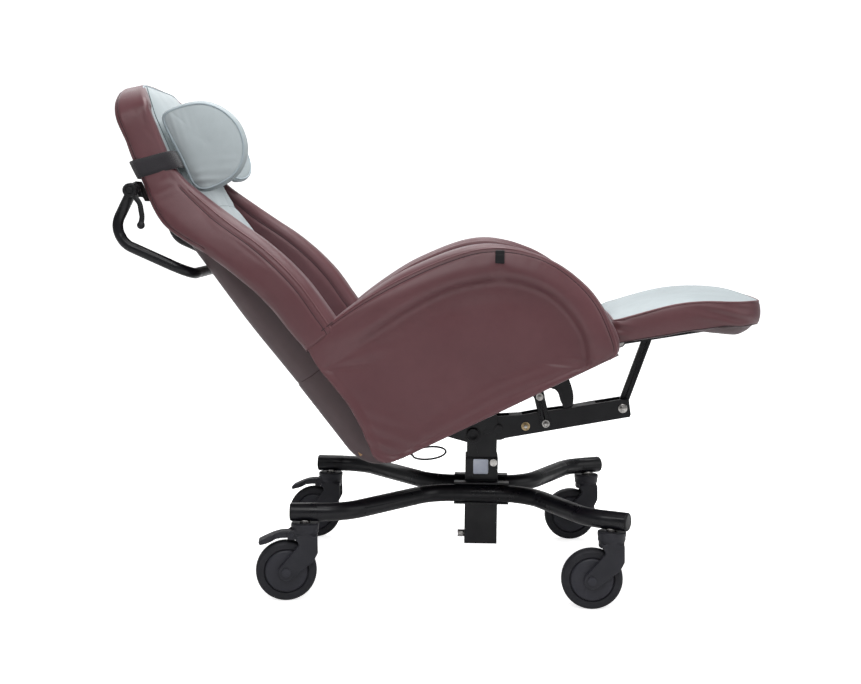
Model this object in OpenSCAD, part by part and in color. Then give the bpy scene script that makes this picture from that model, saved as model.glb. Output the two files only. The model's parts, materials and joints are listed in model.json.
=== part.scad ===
// Tilt-in-space care recliner: castor base, height column, tilting shell seat,
// linked leg rest, fold-down push bar and winged headrest.
// Millimetres, +Z up from the floor, +X towards the feet, -Y is the sitter's right-hand side.

/* [Overall] */
// forward offset of the column axis from the middle of the footprint
column_x = 103.7; // [60:0.1:150]
// backward tilt of the seat when the chair stands fully tilted, degrees
seat_angle = 26.6; // [24:0.2:27]
// clear width between the armrests
seat_inner_w = 492; // [470:2:500]
// thickness of one armrest
arm_t = 88; // [80:1:95]
// width of the leg rest
legrest_w = 430; // [400:2:440]

/* [Base] */
// castor wheel diameter
wheel_d = 125; // [115:1:130]
// width of the tyre
tyre_w = 30; // [26:1:32]
// trail of the wheel behind the stem
castor_trail = 38; // [34:1:42]
// diameter of the bent base tubes
tube_d = 38; // [34:1:42]
// centre-line radius of the tube bends
bend_r = 110; // [80:5:120]
// rear castor stem, distance behind the column
rear_stem_x = 363.3; // [350:0.1:370]
// rear castor stem, half track
rear_stem_y = 273.9; // [260:0.1:280]
// front castor stem, distance ahead of the column
front_stem_x = 261.5; // [255:0.1:270]
// front castor stem, half track
front_stem_y = 301.3; // [290:0.1:305]

/* [Column] */
// outside width of the inner column
column_w = 66; // [62:0.5:66]
// outside width of the fixed sleeve
sleeve_w = 72; // [71.5:0.5:78]
// height of the sleeve foot above the floor
sleeve_foot = 65; // [50:1:80]
// top of the sleeve above the floor
sleeve_top = 256; // [245:1:260]

/* [Seat] */
// thickness of the seat cushion
seat_cushion_t = 58; // [50:1:62]
// height of the armrest crown above the tilt pivot
arm_top = 396; // [385:1:400]
// height of the backrest top above the tilt pivot
back_top = 1003; // [995:1:1010]
// half width of the upper backrest
back_half_w = 256; // [250:1:258]

/* [Headrest] */
// thickness of the headrest ears
ear_t = 40; // [34:1:42]
// forward fold of the right ear from flat, degrees
ear_right_fold = 90; // [60:1:90]
// forward fold of the left ear from flat, degrees
ear_left_fold = 20; // [0:1:60]

/* [View] */
// which sub-part to draw

/* [Hidden] */
$fn = 48;

black = [0.05, 0.05, 0.06];
soft_black = [0.06, 0.06, 0.07];
charcoal = [0.12, 0.12, 0.13];
steel = [0.7, 0.7, 0.72];
maroon = [0.36, 0.2, 0.22];
cushion_grey = [0.68, 0.72, 0.74];
headrest_grey = [0.7, 0.74, 0.76];

// pin centres, [x from the column axis, z above the floor]
tilt_pivot = [-20, 311];
lever_pin = [36.5, 322.6];     // lever arm on the column head
spacer_pin = [96, 328.5];      // spacer bolt in the lever arm
link_low_pin = [139.8, 335.9]; // short link on the lever arm
link_top_pin = [124.9, 396.0]; // short link on the seat frame
strut_low_pin = [308.9, 371.7]; // strut on the lever arm
strut_top_pin = [365.5, 537.3]; // strut on the leg rest
legrest_hinge = [280.4, 534.1];
// gas spring eyes in the seat frame, [x, z] from the tilt pivot
spring_rear = [-30, 60];       // on the column head
spring_front = [230, 70];      // on the seat frame

// pin radii
pivot_r = 8;
lever_pin_r = 6;
hinge_r = 6;
small_pin_r = 5;
seat_link_r = 4.5;

wheel_r = wheel_d / 2;
tube_r = tube_d / 2;
tube_z = wheel_d + 58;
castor_top = wheel_d + 36;
column_half = column_w / 2;
sleeve_half = sleeve_w / 2;
inner_half = seat_inner_w / 2;   // inner face of the armrests and outer face of the shell
outer_half = inner_half + arm_t; // outer face of the armrests
deck_z = 90;                     // underside of the seat board above the pivot
clearance = 0.05;                // running clearance, radial

// ------------------------------------------------------------ frames and helpers
tilt_cos = cos(seat_angle);
tilt_sin = sin(seat_angle);

// an [x, z] point from the column frame to the seat frame, and back
function to_seat(point) =
  let (x = point[0] - tilt_pivot[0], z = point[1] - tilt_pivot[1])
  [x * tilt_cos + z * tilt_sin, -x * tilt_sin + z * tilt_cos];
function to_world(point) =
  [tilt_pivot[0] + point[0] * tilt_cos - point[1] * tilt_sin,
   tilt_pivot[1] + point[0] * tilt_sin + point[1] * tilt_cos];

seat_link_pin = to_seat(link_top_pin);
seat_hinge = to_seat(legrest_hinge);
head_spring_pin = to_world(spring_rear);

// Catmull-Rom point on span i, t from 0 to 1
function span_point(points, i, t) =
  let (
    last = len(points) - 1,
    before = points[max(0, i - 1)],
    start = points[i],
    end = points[min(last, i + 1)],
    after = points[min(last, i + 2)]
  )
  0.5 * ((2 * start) + (end - before) * t
    + (2 * before - 5 * start + 4 * end - after) * t * t
    + (3 * start - before - 3 * end + after) * t * t * t);
// smooth open curve through control points
function curve(points, steps = 4) = concat(
  [for (i = [0:len(points) - 2]) for (j = [0:steps - 1]) span_point(points, i, j / steps)],
  [points[len(points) - 1]]);
function scaled_about(points, centre, factor) =
  [for (point = points) centre + (point - centre) * factor];
// the points in reverse order with the second coordinate negated
function mirrored(points) =
  [for (i = [len(points) - 1:-1:0]) [points[i][0], -points[i][1]]];

// column frame: origin on the floor at the column axis
module world() { translate([column_x, 0, 0]) children(); }
// seat frame: origin at the tilt pivot, tilted with the seat
module seat() {
  world() translate([tilt_pivot[0], 0, tilt_pivot[1]]) rotate([0, -seat_angle, 0]) children();
}
// place at a plan point [x, y]
module at(point, z = 0) { translate([point[0], point[1], z]) children(); }
// keep a part and add its image on the other side
module sides() {
  children();
  mirror([0, 1, 0]) children();
}
// extrude a side profile [x, z] between two y stations
module slab(y0, y1) { translate([0, y1, 0]) rotate([90, 0, 0]) linear_extrude(y1 - y0) children(); }
// both mirror images of a slab
module slabs(y0, y1) {
  slab(y0, y1) children();
  slab(-y1, -y0) children();
}
// pin along y through [x, z]
module ypin(point, radius, y0, y1) {
  translate([point[0], y1, point[1]]) rotate([90, 0, 0]) cylinder(r = radius, h = y1 - y0);
}
// rod along +x from the origin
module xrod(radius, length) { rotate([0, 90, 0]) cylinder(r = radius, h = length); }
// flat bar outline between two pin centres
module bar_outline(start, end, radius) {
  translate(start) circle(radius);
  translate(end) circle(radius);
  translate(start) rotate(heading(start, end)) translate([0, 0.5 - radius])
    square([norm(end - start), 2 * radius - 1]);
}

function heading(from, to) = atan2(to[1] - from[1], to[0] - from[0]);
// signed change of heading at path point i
function turn(path, i) =
  let (change = heading(path[i], path[i + 1]) - heading(path[i - 1], path[i]))
  change > 180 ? change - 360 : change < -180 ? change + 360 : change;
// length the bend takes off each straight at path point i
function bend_cut(path, i, bend) =
  (i == 0 || i == len(path) - 1) ? 0 : bend * tan(abs(turn(path, i)) / 2);
// bent round bar along a plan path: straight runs lap a hair over each bend,
// which is drawn very slightly thinner; ends = false leaves out the first and last straight
module bent(path, bend, radius, ends = true) {
  lap = 0.6;
  thinning = 0.2;
  last = len(path) - 2;
  for (i = ends ? [0:last] : [1:last - 1]) {
    start = bend_cut(path, i, bend) - (i == 0 ? 0 : lap);
    end = norm(path[i + 1] - path[i]) - bend_cut(path, i + 1, bend) + (i == last ? 0 : lap);
    at(path[i]) rotate([0, 0, heading(path[i], path[i + 1])])
      translate([start, 0, 0]) xrod(radius, end - start);
  }
  for (i = [1:last]) {
    angle = heading(path[i - 1], path[i]);
    change = turn(path, i);
    side = change > 0 ? 1 : -1;
    tangent = path[i] - bend_cut(path, i, bend) * [cos(angle), sin(angle)];
    at(tangent + side * bend * [-sin(angle), cos(angle)])
      rotate([0, 0, side > 0 ? angle - 90 : angle + 90 + change])
        rotate_extrude(angle = abs(change)) translate([bend, 0]) circle(radius - thinning);
  }
}

// ------------------------------------------------------------ base tubes
// right-hand tube centre line in plan, [x, y]
tube_path = [[-391, -275], [-285, -271], [-108, -56], [98, -56], [212, -277], [290, -315.5]];
// right-hand castor stems, [x, y]
stems = [[-rear_stem_x, -rear_stem_y], [front_stem_x, -front_stem_y]];
stem_r = 6;
stem_head_r = 11;
stem_head_h = 14;
stem_head_gap = 0.4; // stem head above the castor top

module base_tube() {
  world() difference() {
    translate([0, 0, tube_z]) bent(tube_path, bend_r, tube_r);
    for (stem = stems)
      at(stem, castor_top) cylinder(r = stem_head_r, h = stem_head_gap + stem_head_h);
  }
}
module base_tube_right() { color(black) base_tube(); }
module base_tube_left() { color(black) mirror([0, 1, 0]) base_tube(); }

// end cap with a chamfered outer edge
module tube_cap(point, angle) {
  cap_r = tube_r - 0.6;
  at(point, tube_z) rotate([0, 0, angle]) rotate([0, 90, 0]) {
    translate([0, 0, 0.05]) cylinder(r = cap_r, h = 1.95);
    translate([0, 0, 2]) cylinder(r1 = cap_r, r2 = tube_r - 3, h = 1.5);
  }
}
module tube_caps() {
  color([0.08, 0.08, 0.09]) world() sides() {
    tube_cap(tube_path[0], heading(tube_path[1], tube_path[0]));
    tube_cap(tube_path[5], heading(tube_path[4], tube_path[5]));
  }
}

// ------------------------------------------------------------ column
saddle_gap = 20;   // tube centre to the near face of a saddle plate
saddle_t = 4;
foot_screw_z = sleeve_foot + 15;
lock_screw_r = 4;
foot_screw_r = 5;
head_base = 284;   // top of the box tube, foot of the head cheeks

module box_tube(width, wall, z0, z1) {
  translate([0, 0, z0]) linear_extrude(z1 - z0) difference() {
    square(width, center = true);
    square(width - 2 * wall, center = true);
  }
}
// screw frame on the upper right side, +z pointing into the sleeve
module at_lock_screw() {
  translate([26, -sleeve_half - 5, sleeve_top - 8]) rotate([-90, 0, 0]) children();
}
module column_sleeve() {
  color(soft_black) world() difference() {
    union() {
      box_tube(sleeve_w, sleeve_half - column_half - 0.6, sleeve_foot, sleeve_top);
      // foot plate closes the sleeve
      translate([-sleeve_half, -sleeve_half, sleeve_foot]) cube([sleeve_w, sleeve_w, 3]);
      // saddle plates that carry the tubes
      sides() for (z = [-saddle_gap - saddle_t, saddle_gap])
        translate([-60, sleeve_half - 1, tube_z + z]) cube([120, 26, saddle_t]);
    }
    // only the straight run of each tube beside the sleeve touches it
    sides() translate([-70, tube_path[2][1], tube_z]) xrod(tube_r, 140);
    translate([-50, 0, foot_screw_z]) xrod(foot_screw_r, 30);
    at_lock_screw() cylinder(r = lock_screw_r, h = 9);
  }
}
module sleeve_collar() {
  color([0.1, 0.1, 0.1]) world() translate([0, 0, sleeve_top]) linear_extrude(3) difference() {
    square(sleeve_w, center = true);
    square(column_w + 2 * clearance, center = true);
  }
}
module column_bolts() {
  color(steel) world() {
    // height lock screw
    at_lock_screw() {
      cylinder(r = 8, h = 5);
      cylinder(r = lock_screw_r, h = 7.2);
      translate([0, 0, -1.5]) cylinder(r = 5, h = 1.5);
    }
    // foot stop screw, rear
    translate([-sleeve_half - 15, 0, foot_screw_z]) {
      xrod(8, 15);
      xrod(foot_screw_r, 17.2);
    }
  }
}
// square plate on the right face of the sleeve
module blank_plate() {
  plate_w = 33;
  plate_t = 0.8;
  color([0.82, 0.84, 0.88]) world()
    translate([-18.5, -sleeve_half - plate_t, 222]) cube([plate_w, plate_t, plate_w]);
}
module column_inner() {
  color(black) world() difference() {
    union() {
      box_tube(column_w, 3, sleeve_foot + 6, head_base);
      // head cheeks, reaching back to the gas spring eye
      slabs(column_half - 6, column_half) {
        polygon([
          [-33, head_base], [33, head_base], [33, 350], [28, 354], [8, 354],
          [-8, 350], [-70, 365], [-88, 358], [-86, 340], [-33, 326]
        ]);
        translate(head_spring_pin) circle(14);
      }
      // web under the arm slot
      translate([-column_half, -column_half, head_base - 3]) cube([column_w, column_w, 4]);
    }
    ypin(tilt_pivot, pivot_r, -50, 50);
    ypin(lever_pin, lever_pin_r, -50, 50);
    ypin(head_spring_pin, small_pin_r, -50, 50);
  }
}
module head_pins() {
  color([0.72, 0.72, 0.74]) world() {
    ypin(tilt_pivot, pivot_r, -46, 46);
    sides() ypin(tilt_pivot, 15, 44.2, 49);
    // centre and radius; each has a head 3 wider outside the cheeks
    for (pin = [[lever_pin, lever_pin_r], [head_spring_pin, small_pin_r]]) {
      ypin(pin[0], pin[1], -column_half - 1, column_half + 1);
      sides() ypin(pin[0], pin[1] + 3, column_half, column_half + 1.8);
    }
  }
}

// ------------------------------------------------------------ castors
// stem x, stem y, swivel angle
castor_rr = [-rear_stem_x, -rear_stem_y, 7];
castor_rl = [-rear_stem_x, rear_stem_y, -3];
castor_fr = [front_stem_x, -front_stem_y, -2];
castor_fl = [front_stem_x, front_stem_y, 4];
tyre_half = tyre_w / 2;
rim_r = wheel_r - 18;            // seat of the tyre on the hub
crown_z = wheel_d + 3;           // underside of the fork crown
fork_outer = tyre_half + 11;     // outer face of a fork leg
wheel_axle = [-castor_trail, wheel_r];
axle_r = 5;
pedal_pin = [-26, crown_z + 11];
pedal_pin_r = 3;

// castor frame: stem axis at the origin, wheel trails towards -x
module at_castor(castor) { world() at(castor) rotate([0, 0, castor[2]]) children(); }
module castor_stems() {
  color(steel) world() sides() for (stem = stems) at(stem) {
    translate([0, 0, wheel_d + 5]) cylinder(r = stem_r, h = 40);
    translate([0, 0, castor_top + stem_head_gap]) cylinder(r = stem_head_r, h = stem_head_h);
  }
}
module fork(braked) {
  color([0.16, 0.16, 0.18]) difference() {
    union() {
      translate([0, 0, crown_z]) cylinder(r = 26, h = castor_top - 10 - crown_z);
      translate([0, 0, castor_top - 10]) cylinder(r = 24.5, h = 2);
      translate([0, 0, castor_top - 8]) cylinder(r = 29, h = 8);
      translate([0, 0, castor_top - 19]) cylinder(r = 28, h = 9);
      // legs
      sides() slab(tyre_half + 4, fork_outer) {
        polygon([
          [25, crown_z + 9], [26, wheel_r + 40], [17, wheel_r + 22], [-24, wheel_r - 11],
          [-castor_trail - 10, wheel_r + 14], [-13, crown_z - 9], [-20, crown_z + 9]
        ]);
        translate(wheel_axle) circle(17);
      }
      // crown bridging the two legs, clear of the wheel
      translate([-19, -fork_outer, crown_z]) cube([44, 2 * fork_outer, 9]);
      // pedal ears
      if (braked) sides() slab(15.2, 21) translate([0, crown_z])
        polygon([[-36, 1], [-14, 1], [-14, 20], [-30, 20], [-36, 14]]);
    }
    // stem bore
    translate([0, 0, crown_z - 5]) cylinder(r = stem_r + clearance, h = 60);
    ypin(wheel_axle, axle_r, -40, 40);
    if (braked) {
      // pedal slot
      translate([-60, -15.2, crown_z - 4]) cube([42, 30.4, 26]);
      ypin(pedal_pin, pedal_pin_r, -30, 30);
    }
  }
}
module axle(braked) {
  color([0.55, 0.55, 0.58]) {
    ypin(wheel_axle, axle_r, -fork_outer, fork_outer);
    sides() ypin(wheel_axle, 9, fork_outer, fork_outer + 2.5);
    if (braked) ypin(pedal_pin, pedal_pin_r, -21, 21);
  }
}
// spin a profile [radius, offset along the axle] about the wheel axle
module spun() {
  translate([-castor_trail, 0, wheel_r]) rotate([90, 0, 0]) rotate_extrude($fn = 64) children();
}
module hub() {
  edge = [
    [axle_r + clearance, -tyre_half - 2], [14, -tyre_half - 2], [16, -tyre_half - 0.5],
    [40, -tyre_half - 0.5], [43, -tyre_half + 1], [43, -tyre_half + 3.5],
    [rim_r, -tyre_half + 3.5]
  ];
  color([0.2, 0.2, 0.22]) spun() polygon(concat(edge, mirrored(edge)));
}
module tyre() {
  edge = [
    [rim_r, -tyre_half + 3], [wheel_r - 16, -tyre_half], [wheel_r - 6, -tyre_half],
    [wheel_r - 2, -tyre_half + 3], [wheel_r - 0.4, -tyre_half + 8]
  ];
  color(charcoal) spun() polygon(concat(edge, [[wheel_r, 0]], mirrored(edge)));
}
// side outlines from the crown underside, [x, z]
pedal_upper = [[-20, 6], [-21, 14], [-34, 17.5], [-52, 16], [-72, 9], [-92, -1]];
pedal_lower = [[-95, -4], [-92, -10], [-72, -5], [-58, 2], [-38, 4], [-22, 3]];
foot_pad = [[-62, 12.6], [-92, -1], [-95, -4], [-92, -10], [-76, -6], [-66, 4]];
module pedal() {
  color([0.18, 0.18, 0.2]) difference() {
    translate([0, 0, crown_z]) {
      slab(-14.6, 14.6) polygon(concat(curve(pedal_upper, 3), curve(pedal_lower, 3)));
      // wider foot pad
      slab(-19, 19) polygon(foot_pad);
    }
    ypin(pedal_pin, pedal_pin_r + clearance, -30, 30);
  }
}
module castor_fork_rr() { at_castor(castor_rr) fork(braked = true); }
module castor_axle_rr() { at_castor(castor_rr) axle(braked = true); }
module wheel_hub_rr() { at_castor(castor_rr) hub(); }
module wheel_tyre_rr() { at_castor(castor_rr) tyre(); }
module brake_pedal_rr() { at_castor(castor_rr) pedal(); }
module castor_fork_rl() { at_castor(castor_rl) fork(braked = true); }
module castor_axle_rl() { at_castor(castor_rl) axle(braked = true); }
module wheel_hub_rl() { at_castor(castor_rl) hub(); }
module wheel_tyre_rl() { at_castor(castor_rl) tyre(); }
module brake_pedal_rl() { at_castor(castor_rl) pedal(); }
module castor_fork_fr() { at_castor(castor_fr) fork(braked = false); }
module castor_axle_fr() { at_castor(castor_fr) axle(braked = false); }
module wheel_hub_fr() { at_castor(castor_fr) hub(); }
module wheel_tyre_fr() { at_castor(castor_fr) tyre(); }
module castor_fork_fl() { at_castor(castor_fl) fork(braked = false); }
module castor_axle_fl() { at_castor(castor_fl) axle(braked = false); }
module wheel_hub_fl() { at_castor(castor_fl) hub(); }
module wheel_tyre_fl() { at_castor(castor_fl) tyre(); }

// ------------------------------------------------------------ seat frame
frame_rear = -168;
frame_front = 342;
rail_z = 52;                   // underside of the rails
rail_h = deck_z - rail_z;
board_half = inner_half - 6;
board_t = 10;
// hook stop outlines, [x, z]
hook_front = [[242, 54], [243, 26], [241, 2], [236, -20], [225, -40]];
hook_rear = [[205, -26], [208, -8], [206, 8], [196, 20], [190, 52]];

module seat_frame() {
  color(black) seat() difference() {
    union() {
      // side rails
      sides() translate([frame_rear, 44, rail_z]) cube([frame_front - frame_rear, 30, rail_h]);
      // cross members
      translate([frame_rear, -board_half, rail_z]) cube([30, 2 * board_half, rail_h]);
      translate([frame_front - 26, -board_half, rail_z]) cube([26, 2 * board_half, rail_h]);
      // tilt plates around the main pivot
      slabs(36.2, 44) {
        polygon([[-80, 84], [95, 84], [78, 40], [19, -7], [-16, -13], [-60, 26]]);
        circle(21);
      }
      // mechanism plate with the short link ears
      sides() translate([148, 20, 50]) cube([94, 26, 5]);
      slabs(20, 27.5) {
        polygon([[150, 52], [188, 52], seat_link_pin + [12, 0], seat_link_pin - [12, 0]]);
        translate(seat_link_pin) circle(12);
      }
      // hook stops that rest on the lever arm
      slabs(20, 27) polygon(concat(curve(hook_front), [[205, -36.5]], curve(hook_rear)));
      // gas spring clevis
      translate([243, -46, 54]) cube([8, 92, 30]);
      slabs(9, 14) {
        translate(spring_front) circle(11);
        translate([230, 59]) square([14, 22]);
      }
      // leg rest hinge ears
      sides() for (y = [62, 178]) slab(y, y + 7) {
        translate(seat_hinge) circle(12);
        translate([330, seat_hinge[1] - 11]) square([seat_hinge[0] - 330, 22]);
      }
    }
    ypin([0, 0], pivot_r + clearance, -60, 60);
    ypin(seat_link_pin, seat_link_r, -60, 60);
    ypin(spring_front, small_pin_r, -60, 60);
    ypin(seat_hinge, hinge_r, -240, 240);
  }
}
module frame_bolts() {
  color([0.75, 0.72, 0.66]) seat() {
    // short link bolts
    sides() {
      ypin(seat_link_pin, seat_link_r, 19, 40);
      ypin(seat_link_pin, 8, 35, 40);
      ypin(seat_link_pin, 7, 15, 20);
    }
    ypin(spring_front, small_pin_r, -16, 16);
    // leg rest hinge rod
    ypin(seat_hinge, hinge_r, -190, 190);
    sides() ypin(seat_hinge, 9, 187, 190);
  }
}
module seat_board() {
  color([0.5, 0.36, 0.24]) seat() difference() {
    translate([-217, -board_half, deck_z]) cube([573, 2 * board_half, board_t]);
    for (y = [-150, 150])
      for (x = [-120, 60, 240])
        translate([x, y, deck_z - 1]) cylinder(r = 12, h = board_t + 2);
  }
}

// ------------------------------------------------------------ upholstery
// side outlines in the seat frame, [x, z]
shell_rear = [
  [-356, 660], [-304, 426], [-268, 276], [-240, 140],
  [-232, 100], [-218, 76], [-197, 58], [-170, 48]
];
shell_inside = [
  [350, 48], [350, 52], [-170, 52], [-194, 62], [-214, 79],
  [-228, 101], [-236, 140], [-264, 276], [-300, 426], [-352, 660]
];
shell_cheek = [
  [350, 48], [350, 88], [-120, 100], [-135, 250],
  [-150, 380], [-200, 520], [-262, 600], [-300, 660]
];
module back_shell() {
  color([0.2, 0.15, 0.16]) seat() difference() {
    union() {
      slab(-inner_half, inner_half) polygon(concat(shell_rear, shell_inside));
      slabs(inner_half - 4, inner_half) polygon(concat(shell_rear, shell_cheek));
    }
    // opening for the column head and the linkage
    translate([-120, -52, 40]) cube([372, 104, 20]);
  }
}

arm_centre = [120, 200];   // centre for the smaller edge layers
arm_outline = concat(
  curve([
    [-127, 368], [-66, 384], [8, 395.5], [70, 396.5], [142, 391], [200, 377], [246, 350],
    [289, 310], [320, 272], [344, 226], [358, 180], [365, 130], [366, 92], [358, 68]
  ]),
  [[338, 57], [282, 60], [-160, 60], [-180, 78]],
  curve([[-182, 90], [-177, 150], [-180, 212], [-189, 250], [-201, 300], [-203, 348]], 3));
arm_outline_top = 396.5;
arm_fixed_z = 200;         // only the outline above this follows arm_top

module arm_solid() {
  stretch = (arm_top - arm_fixed_z) / (arm_outline_top - arm_fixed_z);
  outline = [for (point = arm_outline)
    [point[0], point[1] > arm_fixed_z ? arm_fixed_z + (point[1] - arm_fixed_z) * stretch
      : point[1]]];
  // inner y, outer y, scale of the outline
  layers = [
    [inner_half, inner_half + 10, 0.955],
    [inner_half + 10, inner_half + 24, 0.985],
    [inner_half + 24, outer_half - 24, 1],
    [outer_half - 24, outer_half - 10, 0.985],
    [outer_half - 10, outer_half, 0.955]
  ];
  for (layer = layers)
    slab(layer[0], layer[1]) polygon(scaled_about(outline, arm_centre, layer[2]));
}
module armrest_left() { color(maroon) seat() arm_solid(); }
module armrest_right() { color(maroon) seat() mirror([0, 1, 0]) arm_solid(); }

// extrude a front view [y, z] through the depth of the back
module front_view() {
  translate([-420, 0, 0]) rotate([90, 0, 90]) linear_extrude(320) children();
}
wing_front_edge = [
  [-294, 800], [-287, 752], [-269, 709], [-244, 668], [-217, 624], [-193, 584],
  [-174, 543], [-157, 500], [-145, 458], [-139, 425], [-135, 398], [-131, 371]
];
wing_rear_edge = [
  [-214, 364], [-223, 392], [-234, 439], [-248, 484], [-266, 520], [-289, 564],
  [-314, 606], [-339, 641], [-362, 668], [-372, 700], [-374, 740], [-368, 790]
];
module wing_solid() {
  // side profile trimmed by the front view, which tapers towards the top
  intersection() {
    slab(200, outer_half + 5)
      polygon(concat(curve(wing_front_edge, 3), [[-205, 352]], curve(wing_rear_edge, 3)));
    front_view() polygon([
      [inner_half + 0.5, 300], [outer_half - 2, 340], [outer_half - 1, 420],
      [outer_half - 10, 520], [outer_half - 32, 620], [outer_half - 58, 700],
      [back_half_w + 5, 760], [back_half_w + 1, 800],
      [222, 800], [222, 690], [234, 662], [inner_half + 0.5, 661]
    ]);
  }
}
module wing_left() { color(maroon) seat() wing_solid(); }
module wing_right() { color(maroon) seat() mirror([0, 1, 0]) wing_solid(); }

// front view of the upper back: straight sides and round shoulders
module arch(half, top, radius, bottom) {
  translate([-half, bottom]) square([2 * half, top - radius - bottom]);
  translate([-half + radius, bottom]) square([2 * half - 2 * radius, top - bottom]);
  for (side = [-1, 1]) translate([side * (half - radius), top - radius]) circle(radius, $fn = 96);
}
band_rear = [
  [-352, 662], [-362, 700], [-366, 740], [-366, 800], [-366, 860],
  [-361, 910], [-352, 960], [-342, 990], [-322, back_top]
];
module band_solid() {
  intersection() {
    slab(-300, 300) polygon(concat(curve(band_rear), [[-312, back_top], [-312, 662]]));
    front_view() arch(back_half_w, back_top, 105, 662);
  }
  // side band in front of the hard back, above the wings
  intersection() {
    slab(-300, 300) polygon([
      [-312, 802], [-295, 802], [-291, 880], [-286, 940],
      [-290, 975], [-300, back_top], [-312, back_top]
    ]);
    front_view() difference() {
      arch(back_half_w, back_top, 105, 640);
      arch(222, back_top - 22, 90, 630);
    }
  }
}
module back_band() {
  color(maroon) seat() difference() {
    band_solid();
    sides() wing_solid();
  }
}
cushion_front = [
  [-150, 180], [-162, 250], [-180, 360], [-210, 500], [-245, 610], [-274, 680], [-288, 712]
];
module back_cushion() {
  color(cushion_grey) seat() intersection() {
    slab(-230, 230) polygon(concat(
      [[-309, 980], [-309, 660], [-345, 650], [-296, 426], [-262, 276], [-232, 164], [-150, 160]],
      curve(cushion_front, 3),
      [[-288, 940], [-293, 972]]));
    front_view() arch(221, back_top - 23, 89, 150);
  }
}
module seat_cushion() {
  half = inner_half - 4.5;
  bottom = deck_z + board_t;
  top = deck_z + seat_cushion_t;
  color(cushion_grey) seat() slab(-half, half) polygon([
    [-224, bottom + 0.5], [352, bottom + 0.5], [361, bottom + 10],
    [363, bottom + seat_cushion_t * 0.6], [354, top + 6], [330, top + 9],
    [-215, top + 9], [-227, top + 4], [-227, bottom + 12]
  ]);
}
// small tab with a raised lip on the outer face of each armrest
module arm_tabs() {
  tab_w = 18;
  tab_t = 4;
  tab_h = 26;
  lip_h = 8;
  color([0.03, 0.03, 0.03]) seat() sides()
    translate([220, -outer_half - tab_t, 339]) rotate([0, 27, 0])
      translate([-tab_w / 2, 0, -tab_h / 2]) {
        cube([tab_w, tab_t, tab_h]);
        translate([0, -1.5, tab_h - lip_h]) cube([tab_w, 2, lip_h]);
      }
}

// ------------------------------------------------------------ lever arm and links
lever_inner = 18;    // inner and outer faces of the two lever bars
lever_outer = 26.5;
lever_outline = [
  [30, 297], [325, 353], [327, 358], [322, 391], [304, 391],
  [250, 381.5], [198, 371.5], [121, 360], [82, 352], [30, 349]
];
module lever_arm() {
  color(black) world() difference() {
    union() {
      slabs(lever_inner, lever_outer) {
        polygon(lever_outline);
        translate(lever_pin) circle(26);
      }
      // top webs between the two bars
      slab(-18.5, 18.5) polygon([[198, 366], [198, 371.5], [250, 381.5], [250, 376.5]]);
      slab(-18.5, 18.5) polygon([[60, 346], [60, 350.6], [88, 352.8], [88, 347]]);
    }
    ypin(lever_pin, lever_pin_r + clearance, -40, 40);
    for (pin = [spacer_pin, link_low_pin, strut_low_pin]) ypin(pin, small_pin_r, -40, 40);
  }
}
module lever_bolts() {
  // centre, radius, y from, y to
  heads = [
    [spacer_pin, 9, lever_outer, 31],
    [link_low_pin, 8, 34.5, 39],
    [strut_low_pin, 10, lever_outer, 28],
    [strut_low_pin, 7.5, 28, 33],
    [strut_low_pin, 8, 6.8, lever_inner]
  ];
  color([0.78, 0.72, 0.6]) world() {
    ypin(spacer_pin, small_pin_r, -27, 27);
    // spacer sleeve
    difference() {
      ypin(spacer_pin, 9, -lever_inner, lever_inner);
      ypin(spacer_pin, small_pin_r, -20, 20);
    }
    ypin(link_low_pin, small_pin_r, -35, 35);
    ypin(strut_low_pin, small_pin_r, -27, 27);
    sides() for (head = heads) ypin(head[0], head[1], head[2], head[3]);
  }
}
module short_links() {
  color(black) world() difference() {
    slabs(28.5, 34) bar_outline(link_low_pin, link_top_pin, 11.5);
    ypin(link_low_pin, small_pin_r + clearance, -60, 60);
    // open pivot: the seat frame bolt sits in an eased hole
    ypin(link_top_pin, 6.4, -60, 60);
  }
}
module leg_strut() {
  color(black) world() difference() {
    slab(-6, 6) bar_outline(strut_low_pin, strut_top_pin, 10.5);
    ypin(strut_low_pin, small_pin_r + clearance, -60, 60);
    // eased hole around the leg rest pin
    ypin(strut_top_pin, 6.3, -60, 60);
  }
}

// ------------------------------------------------------------ leg rest
module legrest_frame() {
  color(black) world() difference() {
    union() {
      // knuckles on the hinge rod
      sides() for (span = [[70, 92], [154, 177]]) {
        ypin(legrest_hinge, 10, span[0], span[1]);
        slab(span[0], span[1]) polygon([
          legrest_hinge + [-2, 4], legrest_hinge + [8, -6], [470, 559.5], [470, 566]
        ]);
      }
      // cross plate and strut ears
      slab(-176, 176) polygon([[348, 546.5], [388, 552.5], [388, 555.5], [348, 549.5]]);
      slabs(7, 12) {
        translate(strut_top_pin) circle(10.5);
        polygon([
          [350, 547], [386, 552.4], strut_top_pin + [9.5, -4], strut_top_pin + [-9.5, -4]
        ]);
      }
    }
    ypin(legrest_hinge, hinge_r + clearance, -220, 220);
    ypin(strut_top_pin, small_pin_r, -60, 60);
  }
  color(steel) world() ypin(strut_top_pin, small_pin_r, -14, 14);
}
// plan of the leg rest with rounded foot corners
module legrest_plan(inset) {
  half = legrest_w / 2 - inset;
  radius = 86 - inset;
  translate([200, -half]) square([276, 2 * half]);
  translate([400, -half + radius]) square([162 - inset, 2 * (half - radius)]);
  for (side = [-1, 1]) translate([476, side * (half - radius)]) circle(radius, $fn = 96);
}
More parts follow.
